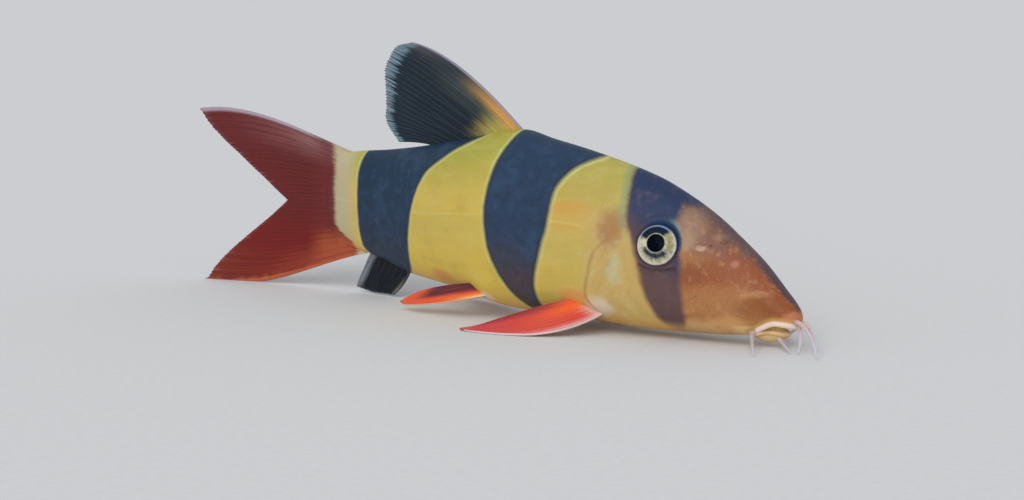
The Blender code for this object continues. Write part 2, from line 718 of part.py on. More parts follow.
def main():
    clear_scene()
    make_head()
    make_eyes()
    for length in ("trunk", "tail_stalk"):
        body_section(length, length)
    grown = [body_section("grown", length, GAP) for length in BODY_LENGTHS]
    mouth = [jaw(GAP), *lips(GAP)]
    floor = floor_block()
    make_fins(grown, floor)
    make_barbels([grown[0], *mouth])
    for helper in [floor, *grown, *mouth]:
        bpy.data.objects.remove(helper)
    centre_on_floor()


main()
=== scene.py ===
# %% [markdown]
# # Dressing a clown loach
# The solids of a life-size clown loach are already made: a head, a trunk, a tail stalk, eyes, fins
# and feelers, parted from each other by thin gaps. A museum model shows none of those gaps. In this
# lesson one skin is drawn over the flesh, every fin gets its branching rays, and all of it is
# painted by formulas, so that the pattern stays sharp at any distance.

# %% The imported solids
import math

import bpy
import numpy as np
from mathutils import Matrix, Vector


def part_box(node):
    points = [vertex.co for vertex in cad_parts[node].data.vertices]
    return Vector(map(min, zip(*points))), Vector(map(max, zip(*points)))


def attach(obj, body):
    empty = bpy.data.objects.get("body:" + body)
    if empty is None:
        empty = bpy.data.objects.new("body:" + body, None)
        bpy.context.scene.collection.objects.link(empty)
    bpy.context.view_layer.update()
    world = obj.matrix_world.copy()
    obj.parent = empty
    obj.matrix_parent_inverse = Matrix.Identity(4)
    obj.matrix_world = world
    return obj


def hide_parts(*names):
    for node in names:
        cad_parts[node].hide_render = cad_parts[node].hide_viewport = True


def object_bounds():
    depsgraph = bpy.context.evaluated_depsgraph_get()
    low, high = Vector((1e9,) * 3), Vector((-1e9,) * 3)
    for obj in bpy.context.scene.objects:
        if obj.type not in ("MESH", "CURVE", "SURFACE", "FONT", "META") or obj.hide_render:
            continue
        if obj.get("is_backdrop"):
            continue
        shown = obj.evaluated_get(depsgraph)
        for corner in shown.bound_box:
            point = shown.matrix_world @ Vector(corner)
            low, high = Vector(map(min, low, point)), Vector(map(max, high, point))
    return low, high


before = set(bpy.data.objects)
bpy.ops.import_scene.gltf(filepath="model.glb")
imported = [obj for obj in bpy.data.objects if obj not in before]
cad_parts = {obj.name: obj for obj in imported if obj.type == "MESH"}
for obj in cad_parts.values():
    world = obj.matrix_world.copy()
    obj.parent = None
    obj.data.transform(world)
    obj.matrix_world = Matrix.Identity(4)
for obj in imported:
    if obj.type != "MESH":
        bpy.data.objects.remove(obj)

solid_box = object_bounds()
print("solids:", sorted(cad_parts))
print("box of the solids, in metres:", [list(corner) for corner in solid_box])

# %% [markdown]
# ## The bent ruler
# A fish is easiest to describe straight: how far back from the snout (station), how far out to its
# left (side), how high above the floor (height), each as a share of the standard length. This one
# swings its tail a little, so every place is then carried along a bent spine. The heading of the
# spine is a sine wave that starts behind the head, and adding up short steps in that heading gives
# its path. The same numbers made the solids, so the skin lands exactly on them.

# %% The spine, and places along it
STANDARD_LENGTH = 0.100
MILLIMETRE = 0.001
SWING = math.radians(14)
SWING_START = 0.30
SWING_HALF_WAVE = 0.78


def through(knots, at):
    """A smooth curve through the knots: between two of them it is the cubic that has the harmonic
    mean of the neighbouring slopes at each knot, so it never overshoots."""
    xs, ys = np.array(knots, float).T
    rise = np.diff(ys) / np.diff(xs)
    product, total = rise[:-1] * rise[1:], rise[:-1] + rise[1:]
    inner = np.divide(2 * product, total, out=np.zeros_like(product), where=product > 0)
    slope = np.concatenate([rise[:1], inner, rise[-1:]])
    at = np.asarray(at, float)
    i = np.clip(np.searchsorted(xs, at) - 1, 0, len(xs) - 2)
    width = xs[i + 1] - xs[i]
    t = np.clip((at - xs[i]) / width, 0, 1)
    return (
        ys[i] * (1 + 2 * t) * (1 - t) ** 2
        + ys[i + 1] * t * t * (3 - 2 * t)
        + width * (slope[i] * t * (1 - t) ** 2 - slope[i + 1] * t * t * (1 - t))
    )


def smooth_step(low, high, value):
    """0 below low, 1 above high, and the cubic 3 t^2 - 2 t^3 between them."""
    t = np.clip((value - low) / (high - low), 0, 1)
    return t * t * (3 - 2 * t)


def bump(value, middle, width):
    """A bell, exp(-((value - middle) / width)^2)."""
    return np.exp(-(((value - middle) / width) ** 2))


def spine_table():
    """Stations, with the heading and the place of the spine at each."""
    station = np.linspace(-0.1, 1.5, 801)
    lag = np.clip((station - SWING_START) / SWING_HALF_WAVE, 0, 1.5)
    heading = SWING * np.sin(math.pi * lag) * np.minimum(3 * lag, 1)
    step = station[1] - station[0]
    forward = np.concatenate([[0], np.cumsum(np.cos(heading[1:]) * step)])
    sideways = np.concatenate([[0], np.cumsum(np.sin(heading[1:]) * step)])
    start = np.interp(0, station, forward)
    return station, heading, start - forward, sideways


SPINE = spine_table()
SHIFT = np.zeros(3)
print("the spine turns by up to", round(math.degrees(SPINE[1].max())), "degrees")


def place(station, side, height):
    """Metres in the row frame: the point of the spine at the station, then side along the spine's
    normal there, then height straight up."""
    stations, headings, xs, ys = SPINE
    heading = np.interp(station, stations, headings)
    x = np.interp(station, stations, xs) + side * np.sin(heading)
    y = np.interp(station, stations, ys) + side * np.cos(heading)
    return np.stack(np.broadcast_arrays(x, y, height), axis=-1) * STANDARD_LENGTH + SHIFT


def unbend(points):
    """The reverse of place: the station slides along the spine until the point lies square to it."""
    stations, headings, xs, ys = SPINE
    x, y, height = ((points - SHIFT) / STANDARD_LENGTH).T
    station = -x
    for _ in range(12):
        heading = np.interp(station, stations, headings)
        ahead = x - np.interp(station, stations, xs)
        beside = y - np.interp(station, stations, ys)
        station = station + beside * np.sin(heading) - ahead * np.cos(heading)
    return np.stack([station, ahead * np.sin(heading) + beside * np.cos(heading), height], axis=-1)


# %% [markdown]
# ## The plain body
# Cut a loach across and the cut is an egg that is flat underneath. Two half superellipses that meet
# at the waist draw it well: the exponent says how square each half is. The outlines of the back and
# the belly and the half width are curves through a few knots, so the whole body is one function of
# two parameters, the station and the angle round the section.

# %% Sections of the body
BACK = (
    (0.000, 0.050), (0.010, 0.067), (0.030, 0.090), (0.064, 0.129), (0.096, 0.158), (0.142, 0.195),
    (0.188, 0.224), (0.247, 0.253), (0.368, 0.290), (0.446, 0.308), (0.504, 0.321), (0.612, 0.307),
    (0.700, 0.293), (0.860, 0.275), (0.935, 0.270), (1.000, 0.262), (1.030, 0.250),
)
BELLY = (
    (0.000, 0.036), (0.015, 0.032), (0.040, 0.030), (0.066, 0.0225), (0.090, 0.0155), (0.150, 0.012),
    (0.250, 0.011), (0.366, 0.017), (0.501, 0.020), (0.606, 0.031), (0.694, 0.041), (0.790, 0.050),
    (0.877, 0.070), (0.935, 0.081), (1.000, 0.090), (1.030, 0.102),
)
HALF_WIDTH = (
    (0.000, 0.011), (0.010, 0.019), (0.030, 0.028), (0.060, 0.036), (0.100, 0.045), (0.150, 0.054),
    (0.210, 0.063), (0.270, 0.072), (0.330, 0.079), (0.420, 0.083), (0.520, 0.078), (0.620, 0.067),
    (0.720, 0.053), (0.820, 0.041), (0.920, 0.029), (1.000, 0.015), (1.030, 0.005),
)
WAIST = ((0.0, 0.50), (0.10, 0.42), (0.25, 0.38), (0.45, 0.40), (0.75, 0.46), (1.03, 0.50))
UPPER_POWER = ((0.0, 2.2), (0.10, 1.95), (0.30, 1.85), (0.55, 1.80), (0.80, 1.95), (1.03, 2.1))
LOWER_POWER = (
    (0.0, 2.6), (0.06, 2.90), (0.12, 2.60), (0.25, 2.50), (0.45, 2.40), (0.70, 2.10), (1.03, 2.1),
)
NOSE_ROUNDING = 0.007
BODY_END = 1.032
BODY_END_ROUNDING = 0.030
END_WEDGE = 0.090
END_HALF_WIDTH = 0.0008


def section(station):
    """Half width, height of the waist, and the reach above and below it."""
    top, bottom = through(BACK, station), through(BELLY, station)
    waist = bottom + (top - bottom) * through(WAIST, station)
    return through(HALF_WIDTH, station), waist, top - waist, waist - bottom


def share_of_height(station, height):
    """0 on the belly, 1 on the back."""
    top, bottom = through(BACK, station), through(BELLY, station)
    return np.clip((height - bottom) / (top - bottom), 0, 1)


def side_at(station, height):
    """How far out the plain flank lies at this height."""
    half_width, waist, above, below = section(station)
    over = height > waist
    reach = np.where(over, above, below)
    power = np.where(over, through(UPPER_POWER, station), through(LOWER_POWER, station))
    return half_width * np.clip(1 - (np.abs(height - waist) / reach) ** power, 0, 1) ** (1 / power)


widest = 2 * max(half_width for _, half_width in HALF_WIDTH) * STANDARD_LENGTH / MILLIMETRE
print("the plain body is", round(widest, 1), "mm wide")

# %% [markdown]
# ## Where the model stands
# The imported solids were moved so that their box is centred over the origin. The left eye is a
# perfect ellipsoid whose centre the formulas give, so the middle of its box tells the move exactly.
# The finished eyes then sit a third of a millimetre lower than the solid ones, as the photo has them.

# %% Frames on the flank of the head
SOLID_EYE_PLACE = (0.217, 0.154)
EYE_PLACE = (0.2165, 0.151)
EYE_RADIUS = 3.8 * MILLIMETRE
EYE_HALF_DEPTH = 2.6 * MILLIMETRE
EYE_SINK = 1.5 * MILLIMETRE


def flank_frame(station, height, hand):
    """A point on the flank, and the outward direction there: the cross product of two short steps
    along the skin, forward and up."""
    step = 0.01
    surface = place(station, hand * side_at(station, height), height)
    ahead = place(station - step, hand * side_at(station - step, height), height) - surface
    above = place(station, hand * side_at(station, height + step), height + step) - surface
    out = np.cross(ahead, above) * -hand
    return surface, out / np.linalg.norm(out)


def eye_frame(hand, spot=EYE_PLACE):
    """The centre of an eye and the direction in which it looks."""
    surface, out = flank_frame(*spot, hand)
    return surface - out * EYE_SINK, out


low, high = (np.array(corner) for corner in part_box("eye_left"))
SHIFT = (low + high) / 2 - eye_frame(1, SOLID_EYE_PLACE)[0]
print("the fish was moved by", SHIFT.round(5), "metres")

# %% [markdown]
# ## Relief of the head
# The head of a loach is smooth, but not plain. The gill cover ends in a soft step, a low rim of skin
# holds the eye, and a folded spine hides in a slit below it. Each is a height added along the
# section's normal: a bell or a smooth step of the distance from a point or a line on the flank.
# Raising the same grid keeps the skin in one piece, which a pasted-on shape would not.

# %% Relief along lines and round points
GILL_EDGE = (
    (0.00, 0.300), (0.08, 0.309), (0.19, 0.331), (0.32, 0.325), (0.44, 0.317), (0.51, 0.306),
    (0.58, 0.290), (0.67, 0.274), (1.00, 0.262),
)
GILL_STEP = 0.24 * MILLIMETRE
GILL_FALL = 0.0050
EYE_RIM_LIFT = 0.15 * MILLIMETRE
EYE_SEAT_DEPTH = 0.42 * MILLIMETRE
PLATE_DEPTH = 0.09 * MILLIMETRE
CANAL_LIFT = 0.06 * MILLIMETRE
NOSTRIL_DIP = 0.12 * MILLIMETRE
FIN_PAD_LIFT = 0.35 * MILLIMETRE
LINE_LIFT = 0.03 * MILLIMETRE
# In millimetres, the swollen edges of the spine's slit and its depth
SLIT_EDGES, SLIT_DEPTH = 0.08, 0.26
CHEEK_PLATE = ((0.296, 0.176), (0.276, 0.150), (0.268, 0.110), (0.262, 0.070), (0.240, 0.036))
SPINE_SLIT = ((0.241, 0.1185), (0.232, 0.1145), (0.220, 0.1125), (0.200, 0.112), (0.186, 0.1150))
NOSTRILS = ((0.118, 0.160), (0.134, 0.153))
CANAL_OVER_CHEEK = ((0.180, 0.135), (0.150, 0.118), (0.110, 0.100), (0.070, 0.082), (0.040, 0.062))
# Where the pectoral and the pelvic fins grow, and how wide their pads are, in millimetres
FIN_PADS = (((0.318, 0.052), 2.2), ((0.550, 0.050), 2.4))
LATERAL_LINE = (
    (0.300, 0.600), (0.380, 0.585), (0.450, 0.564), (0.560, 0.533), (0.650, 0.523), (0.780, 0.505),
    (1.000, 0.500),
)


def away_from_line(station, height, line):
    """Metres from each point to the nearest of the line's segments."""
    points = np.stack([station, height], axis=-1)
    nearest = np.full(station.shape, np.inf)
    for start, end in zip(np.array(line[:-1]), np.array(line[1:])):
        along = end - start
        t = np.clip(((points - start) @ along) / (along @ along), 0, 1)[..., None]
        nearest = np.minimum(nearest, np.linalg.norm(points - start - t * along, axis=-1))
    return nearest * STANDARD_LENGTH


def away_from_point(station, height, point):
    """Metres from each point to one place on the flank."""
    return np.hypot(station - point[0], height - point[1]) * STANDARD_LENGTH


def relief(station, height):
    """Metres that the skin stands out of the plain section: the gill cover's step, the rim and the
    seat of the eye, the slit of the spine, the plate and the canal of the cheek, the dips of the
    nostrils, soft pads where the paired fins grow, and the side line."""
    share = share_of_height(station, height)
    edge = through(GILL_EDGE, share)
    rise = smooth_step(edge - 0.055, edge - 0.006, station)
    fall = smooth_step(edge, edge + GILL_FALL, station)
    low_flank = smooth_step(0.04, 0.16, share), smooth_step(0.66, 0.44, share)
    lift = GILL_STEP * rise * (1 - fall) * low_flank[0] * low_flank[1]
    eye = away_from_point(station, height, EYE_PLACE) / EYE_RADIUS
    lift += EYE_RIM_LIFT * bump(eye, 1.03, 0.14) - EYE_SEAT_DEPTH * smooth_step(0.95, 0.80, eye)
    slit = away_from_line(station, height, SPINE_SLIT) / MILLIMETRE
    lift += MILLIMETRE * (SLIT_EDGES * bump(slit, 0.50, 0.26) - SLIT_DEPTH * bump(slit, 0, 0.17))
    plate = away_from_line(station, height, CHEEK_PLATE) / MILLIMETRE
    lift -= PLATE_DEPTH * bump(plate, 0, 0.6)
    canal = away_from_line(station, height, CANAL_OVER_CHEEK) / MILLIMETRE
    lift += CANAL_LIFT * bump(canal, 0, 0.9)
    for spot in NOSTRILS:
        lift -= NOSTRIL_DIP * bump(away_from_point(station, height, spot) / MILLIMETRE, 0, 1.0)
    for root, width in FIN_PADS:
        pad = away_from_point(station, height, root) / MILLIMETRE
        lift += FIN_PAD_LIFT * bump(pad, 0, width)
    line = through(LATERAL_LINE, station)
    lift += LINE_LIFT * bump(share, line, 0.010) * smooth_step(0.30, 0.34, station)
    return lift


# %% [markdown]
# ## The skin as one grid
# Rings of points run from the snout to the end of the flesh, close together on the head, where the
# detail is, and wider apart behind it. The first rings shrink along a quarter circle, which rounds
# the snout, and the last ones thin out to a wedge that ends inside the tail fin.

# %% Skin grid
SKIN_SIDES = 248
FLANK_CROWDING = 0.8
HEAD_END = 0.34
HEAD_RINGS = 212
BODY_RINGS = 128


def skin_stations(sine):
    """The station of every point of the grid, ring by ring, as (rings, sides)."""
    head = HEAD_END * np.linspace(0, 1, HEAD_RINGS + 1)[1:] ** 1.2
    share = np.linspace(0, 1, BODY_RINGS + 1)[1:, None]
    last = BODY_END - BODY_END_ROUNDING * np.abs(sine) ** 3
    body = HEAD_END + (last - HEAD_END) * (share + 0.10 * share * (1 - share))
    return np.concatenate([np.broadcast_to(head[:, None], (HEAD_RINGS, len(sine))), body])


def skin_grid():
    """Points (rings, sides, 3) of two half superellipses per ring, pushed out along the section's
    own normal by the relief."""
    turn = np.linspace(0, 2 * math.pi, SKIN_SIDES, endpoint=False)
    angle = np.arctan2(FLANK_CROWDING * np.sin(turn), np.cos(turn))
    station = skin_stations(np.sin(angle))
    sine = np.broadcast_to(np.sin(angle), station.shape)
    cosine = np.broadcast_to(np.cos(angle), station.shape)
    half_width, waist, above, below = section(station)
    reach = np.where(sine > 0, above, below)
    power = np.where(sine > 0, through(UPPER_POWER, station), through(LOWER_POWER, station))
    side = half_width * np.sign(cosine) * np.abs(cosine) ** (2 / power)
    height = waist + reach * np.sign(sine) * np.abs(sine) ** (2 / power)
    normal_side = np.sign(cosine) * np.abs(cosine) ** (2 - 2 / power) / half_width
    normal_up = np.sign(sine) * np.abs(sine) ** (2 - 2 / power) / reach
    length = np.hypot(normal_side, normal_up)
    push = relief(station, height) / STANDARD_LENGTH / length
    side, height = side + normal_side * push, height + normal_up * push
    back_off = np.clip(1 - station / NOSE_ROUNDING, 0, 1)
    shrink = np.sqrt(1 - back_off**2)
    middle = waist + (above - below) / 2
    side, height = side * shrink, middle + (height - middle) * shrink
    left = (station - (station[-1:] - END_WEDGE)) / END_WEDGE
    thin = 1 - np.clip(left, 0, 1) ** 2
    edge = END_HALF_WIDTH * np.sign(cosine) * (np.abs(cosine) > 1e-9)
    side = side * thin + edge * (1 - thin)
    return place(station, side, height)


def ring_quads(rings, sides):
    """Faces of a grid whose rows are closed rings, as an array of four corners each."""
    row = np.arange(sides)
    ring = np.arange(rings - 1)[:, None] * sides
    a, b = ring + row, ring + np.roll(row, -1)
    return np.stack([a, b, b + sides, a + sides], axis=-1).reshape(-1, 4)


def end_across(sides):
    """Triangles over an end ring, between each of its points and the point's mirror image."""
    quarter = sides // 4
    j = np.arange(-quarter, quarter)
    a, b = j % sides, (j + 1) % sides
    c, d = (2 * quarter - j - 1) % sides, (2 * quarter - j) % sides
    faces = np.concatenate([np.stack([a, b, c], -1), np.stack([a, c, d], -1)])
    distinct = (faces[:, 0] != faces[:, 1]) & (faces[:, 1] != faces[:, 2]) & (faces[:, 0] != faces[:, 2])
    return faces[distinct]


def new_piece(name, points, faces):
    """A mesh object from arrays of points and faces, with its faces turned outwards."""
    mesh = bpy.data.meshes.new(name)
    mesh.from_pydata(np.reshape(points, (-1, 3)).tolist(), [], [face.tolist() for face in faces])
    piece = bpy.data.objects.new(name, mesh)
    bpy.context.scene.collection.objects.link(piece)
    turn_outwards(mesh)
    mesh.shade_smooth()
    return piece


def corners_of(mesh):
    """The places of a mesh's points, as (points, 3)."""
    points = np.empty(len(mesh.vertices) * 3)
    mesh.vertices.foreach_get("co", points)
    return points.reshape(-1, 3)


def turn_outwards(mesh):
    """Flips every face if the mesh encloses a negative volume: the sum over its triangles of
    a . (b x c) / 6."""
    mesh.calc_loop_triangles()
    index = np.empty(len(mesh.loop_triangles) * 3, int)
    mesh.loop_triangles.foreach_get("vertices", index)
    points = corners_of(mesh)
    a, b, c = (points - points.mean(axis=0))[index.reshape(-1, 3)].transpose(1, 0, 2)
    if np.einsum("ij,ij->", a, np.cross(b, c)) < 0:
        mesh.flip_normals()


def tube(name, rings, tips):
    """A closed tube of rings, with a fan of triangles round each of its two tips. A tip of None
    closes that end straight across instead."""
    count, sides, _ = rings.shape
    points, last = rings.reshape(-1, 3), (count - 1) * sides
    faces = list(ring_quads(count, sides))
    row = np.arange(sides)
    for first, tip in ((0, tips[0]), (last, tips[1])):
        if tip is None:
            end = end_across(sides) + first
            faces += list(end if first else end[:, ::-1])
            continue
        points = np.concatenate([points, [tip]])
        pole = np.full(sides, len(points) - 1)
        fan = np.stack([pole, first + row, first + np.roll(row, -1)], axis=-1)
        faces += list(fan if first else fan[:, ::-1])
    return new_piece(name, points, faces)


grid = skin_grid()
snout_tip = place(0.0, 0.0, (BACK[0][1] + BELLY[0][1]) / 2)
skin = tube("skin", grid, (snout_tip, None))
print("skin grid:", grid.shape, "faces:", len(skin.data.polygons))

# %% [markdown]
# ## Mouth and nostrils
# The mouth of a loach opens downwards. Two soft rolls, the lips, are bent like horseshoes, and a
# shallow scoop carries the lower one. A roll is a circle carried along a path, its radius changing
# on the way. These overlap the skin and each other, so a Boolean union makes one surface of them,
# and a little smoothing afterwards turns the sharp joints into folds of flesh.

# %% Lips, jaw and nostrils
UPPER_LIP = (
    (0.004, 0.000, 0.0340), (0.011, 0.0140, 0.0365), (0.033, 0.0235, 0.0395), (0.051, 0.0250, 0.0325),
    (0.069, 0.0245, 0.0215),
)
LOWER_LIP = (
    (0.022, 0.000, 0.0215), (0.027, 0.0105, 0.0225), (0.044, 0.0190, 0.0250), (0.066, 0.0225, 0.0200),
)
UPPER_LIP_RADIUS = 0.48 * MILLIMETRE
LOWER_LIP_RADIUS = 0.44 * MILLIMETRE
LIP_RINGS, LIP_SIDES = 121, 26
LIP_TAPER = 0.45
PAPILLA_SHARE, PAPILLA_PITCH = 0.012, 95
JAW_HALF_WIDTH = (
    (0.021, 0.004), (0.026, 0.011), (0.036, 0.0165), (0.048, 0.0200), (0.062, 0.0225), (0.110, 0.026),
)
JAW_BOTTOM = (
    (0.021, 0.0195), (0.026, 0.0140), (0.036, 0.0085), (0.048, 0.0064), (0.062, 0.0090), (0.078, 0.0150),
    (0.110, 0.019),
)
JAW_TOP = (
    (0.021, 0.0240), (0.026, 0.0290), (0.036, 0.0330), (0.048, 0.0340), (0.062, 0.0340), (0.110, 0.034),
)
JAW_RINGS, JAW_SIDES = 44, 44
NOSTRIL_RADIUS = 0.55 * MILLIMETRE
NOSTRIL_RISE = 0.35 * MILLIMETRE
PEG_SIDES = 20


def carried(name, path, radii, sides):
    """A round solid: rings of the given radii, set square to a path, with a fan at each end."""
    ahead = np.gradient(path, axis=0)
    ahead /= np.linalg.norm(ahead, axis=1, keepdims=True)
    up = np.array([0.0, 0.0, 1.0]) if abs(ahead[0][2]) < 0.9 else np.array([1.0, 0.0, 0.0])
    across = np.cross(ahead, up)
    across /= np.linalg.norm(across, axis=1, keepdims=True)
    over = np.cross(across, ahead)
    turn = np.linspace(0, 2 * math.pi, sides, endpoint=False)[None, :, None]
    ring = across[:, None] * np.cos(turn) + over[:, None] * np.sin(turn)
    rings = path[:, None] + ring * np.asarray(radii)[:, None, None]
    return tube(name, rings, (path[0], path[-1]))


def horseshoe(half, count):
    """Stations, sides and heights of a lip, from one corner of the mouth to the other."""
    left = np.array(half)
    knots = np.concatenate([left[:0:-1] * (1, -1, 1), left])
    mark = np.linspace(-1, 1, len(knots))
    fine = np.linspace(-1, 1, count)
    return fine, *(through(list(zip(mark, knots[:, axis])), fine) for axis in range(3))


def lip(name, half, radius):
    """A roll that is fullest in front and thin at the corners, with faint papillae along it."""
    fine, station, side, height = horseshoe(half, LIP_RINGS)
    papillae = 1 + PAPILLA_SHARE * np.sin(PAPILLA_PITCH * fine) * (1 - fine**2)
    radii = radius * (1 - LIP_TAPER * fine**4) * papillae
    return carried(name, place(station, side, height), radii, LIP_SIDES)


def jaw():
    """The scoop of the lower jaw: ellipses between its upper and lower outline."""
    station = np.linspace(JAW_TOP[0][0], JAW_TOP[-1][0], JAW_RINGS)[:, None]
    turn = np.linspace(0, 2 * math.pi, JAW_SIDES, endpoint=False)[None]
    top, bottom = through(JAW_TOP, station), through(JAW_BOTTOM, station)
    side = through(JAW_HALF_WIDTH, station) * np.cos(turn)
    height = (top + bottom) / 2 + (top - bottom) / 2 * np.sin(turn)
    rings = place(station, side, height)
    return tube("jaw", rings, (rings[0].mean(axis=0), rings[-1].mean(axis=0)))


def peg(name, spot, hand, profile):
    """A round peg square to the flank: profile lists (height over the skin, radius) in metres."""
    surface, out = flank_frame(*spot, hand)
    path = np.array([surface + out * rise for rise, _ in profile])
    return carried(name, path, [radius for _, radius in profile], PEG_SIDES)


def combine(target, pieces, operation):
    """One Boolean of the target with every piece, after which the pieces are gone."""
    group = bpy.data.collections.new("pieces")
    bpy.context.scene.collection.children.link(group)
    for piece in pieces:
        group.objects.link(piece)
    boolean = target.modifiers.new("combine", "BOOLEAN")
    boolean.operation = operation
    boolean.operand_type = "COLLECTION"
    boolean.collection = group
    boolean.solver = "MANIFOLD"
    graph = bpy.context.evaluated_depsgraph_get()
    mesh = bpy.data.meshes.new_from_object(target.evaluated_get(graph))
    target.modifiers.clear()
    target.data = mesh
    for piece in pieces:
        bpy.data.objects.remove(piece)
    bpy.data.collections.remove(group)


tube_profile = [
    (-1.0 * NOSTRIL_RADIUS, 1.30 * NOSTRIL_RADIUS), (0.0, 1.15 * NOSTRIL_RADIUS),
    (0.6 * NOSTRIL_RISE, 1.0 * NOSTRIL_RADIUS), (0.95 * NOSTRIL_RISE, 0.92 * NOSTRIL_RADIUS),
    (1.05 * NOSTRIL_RISE, 0.75 * NOSTRIL_RADIUS),
]
hole_profile = [(-0.3 * MILLIMETRE, 0.30 * NOSTRIL_RADIUS), (2 * NOSTRIL_RISE, 0.52 * NOSTRIL_RADIUS)]
added = [jaw()]
added.append(lip("upper_lip", UPPER_LIP, UPPER_LIP_RADIUS))
added.append(lip("lower_lip", LOWER_LIP, LOWER_LIP_RADIUS))
added += [peg("tube", NOSTRILS[0], hand, tube_profile) for hand in (-1, 1)]
combine(skin, added, "UNION")
holes = [peg("hole", spot, hand, hole_profile) for hand in (-1, 1) for spot in NOSTRILS]
combine(skin, holes, "DIFFERENCE")
print("skin with its mouth:", len(skin.data.polygons), "faces")

# %% [markdown]
# Smoothing moves each point towards the mean of its neighbours. Doing that for whole arrays takes
# one sum over the edges per round. A weight keeps it to the mouth and the nostrils.

# %% Folds of flesh round the mouth
SMOOTH_ROUNDS = 14


def smoothed(mesh, weight):
    """Points after each has moved, round by round, by weight / 2 of the way to its neighbours' mean."""
    edges = np.empty(len(mesh.edges) * 2, int)
    mesh.edges.foreach_get("vertices", edges)
    a, b = edges.reshape(-1, 2).T
    points = corners_of(mesh)
    count = np.bincount(a, minlength=len(points)) + np.bincount(b, minlength=len(points))
    for _ in range(SMOOTH_ROUNDS):
        sums = []
        for axis in points.T:
            sums.append(np.bincount(a, axis[b], len(axis)) + np.bincount(b, axis[a], len(axis)))
        total = np.stack(sums, axis=-1)
        points = points + 0.5 * weight[:, None] * (total / count[:, None] - points)
    return points


straight = unbend(corners_of(skin.data))
near_mouth = smooth_step(0.105, 0.085, straight[:, 0]) * smooth_step(0.052, 0.044, straight[:, 2])
from_tube = away_from_point(straight[:, 0], straight[:, 2], NOSTRILS[0]) / MILLIMETRE
near_nostril = smooth_step(1.1, 0.8, from_tube)
softened = smoothed(skin.data, np.maximum(near_mouth, 0.5 * near_nostril))
skin.data.vertices.foreach_set("co", softened.ravel())
skin.data.update()
skin.data.shade_smooth()
print("softened:", np.count_nonzero(near_mouth), "points round the mouth")

# %% [markdown]
# ## Measures for the paint
# The paint needs to know where on the fish it is, not where in the room. So every point of the skin
# carries a few measures as attributes: its straightened place, its share of the height, how deep it
# lies inside a dark band, and how near it is to the lips. The edges of the three bands are curves
# of the station over the share of the height. Dividing by the slope turns the step along the body
# into a true distance from the edge, also where the edge runs slantwise.

# %% Bands and other measures
# The front and the rear edge of each band: its station by the share of the height
EYE_BAND = (
    (
        (0.00, 0.178), (0.15, 0.170), (0.38, 0.175), (0.60, 0.178), (0.80, 0.190), (0.93, 0.187),
        (1.00, 0.166),
    ),
    (
        (0.00, 0.192), (0.10, 0.215), (0.32, 0.239), (0.54, 0.252), (0.72, 0.273), (0.90, 0.277),
        (1.00, 0.283),
    ),
)
MIDDLE_BAND = (
    (
        (0.00, 0.424), (0.15, 0.428), (0.38, 0.414), (0.55, 0.403), (0.73, 0.399), (0.88, 0.378),
        (1.00, 0.340),
    ),
    (
        (0.00, 0.440), (0.10, 0.473), (0.22, 0.499), (0.37, 0.519), (0.60, 0.529), (0.78, 0.524),
        (1.00, 0.501),
    ),
)
REAR_BAND = (
    (
        (0.00, 0.790), (0.09, 0.769), (0.32, 0.755), (0.58, 0.739), (0.78, 0.715), (0.91, 0.660),
        (1.00, 0.588),
    ),
    ((0.00, 0.906), (0.08, 0.919), (0.50, 0.921), (0.77, 0.923), (1.00, 0.915)),
)
# The middle line of the orange swath on the cheek, as (station, height)
ORANGE_SWATH = (
    (0.170, 0.107), (0.147, 0.110), (0.127, 0.115), (0.103, 0.119), (0.078, 0.112), (0.058, 0.100),
    (0.040, 0.084), (0.024, 0.066), (0.010, 0.054),
)
# In millimetres, a distance past which a measure no longer matters
FAR = 9.0
LIP_REGION_END = 0.12
LIP_SAMPLES = 41


def depth_in_band(station, share, band):
    """Distance inside a band, as a share of the standard length: positive inside, negative out."""
    front, rear = band
    tall = through(BACK, station) - through(BELLY, station)
    depth = []
    for edge, sign in ((front, 1), (rear, -1)):
        step = 0.01
        slope = (through(edge, share + step) - through(edge, share - step)) / (2 * step * tall)
        depth.append(sign * (station - through(edge, share)) / np.hypot(1, slope))
    return np.minimum(*depth)


def add_measure(mesh, name, values):
    """Stores one number, or three, on every point of a mesh."""
    values = np.asarray(values, np.float32)
    kind, key = ("FLOAT_VECTOR", "vector") if values.ndim > 1 else ("FLOAT", "value")
    mesh.attributes.new(name, kind, "POINT").data.foreach_set(key, values.ravel())


def away_from_lip(points, near, half):
    """Millimetres from each point to the path of a lip, worked out only where near is true."""
    path = place(*horseshoe(half, LIP_SAMPLES)[1:])
    away = np.full(len(points), FAR)
    away[near] = np.linalg.norm(points[near][:, None] - path[None], axis=-1).min(axis=1) / MILLIMETRE
    return away


points = corners_of(skin.data)
straight = unbend(points)
station, side, height = straight.T
share = share_of_height(station, height)
front = station < LIP_REGION_END
gill = (station - through(GILL_EDGE, share)) * STANDARD_LENGTH / MILLIMETRE
middle_band, rear_band = (depth_in_band(station, share, band) for band in (MIDDLE_BAND, REAR_BAND))
measures = {
    "straight": straight,
    "share": share,
    "eye_band": depth_in_band(station, share, EYE_BAND),
    "band": np.maximum(middle_band, rear_band),
    "swath": away_from_line(station, height, ORANGE_SWATH) / MILLIMETRE,
    "upper_lip": away_from_lip(points, front, UPPER_LIP),
    "lower_lip": away_from_lip(points, front, LOWER_LIP),
    "slit": away_from_line(station, height, SPINE_SLIT) / MILLIMETRE,
    "eye_away": away_from_point(station, height, EYE_PLACE) / EYE_RADIUS,
    "gill": np.clip(gill, -FAR, FAR),
    "line": share - through(LATERAL_LINE, station),
}
for name, values in measures.items():
    add_measure(skin.data, name, values)
print(len(measures), "measures on", len(points), "points")

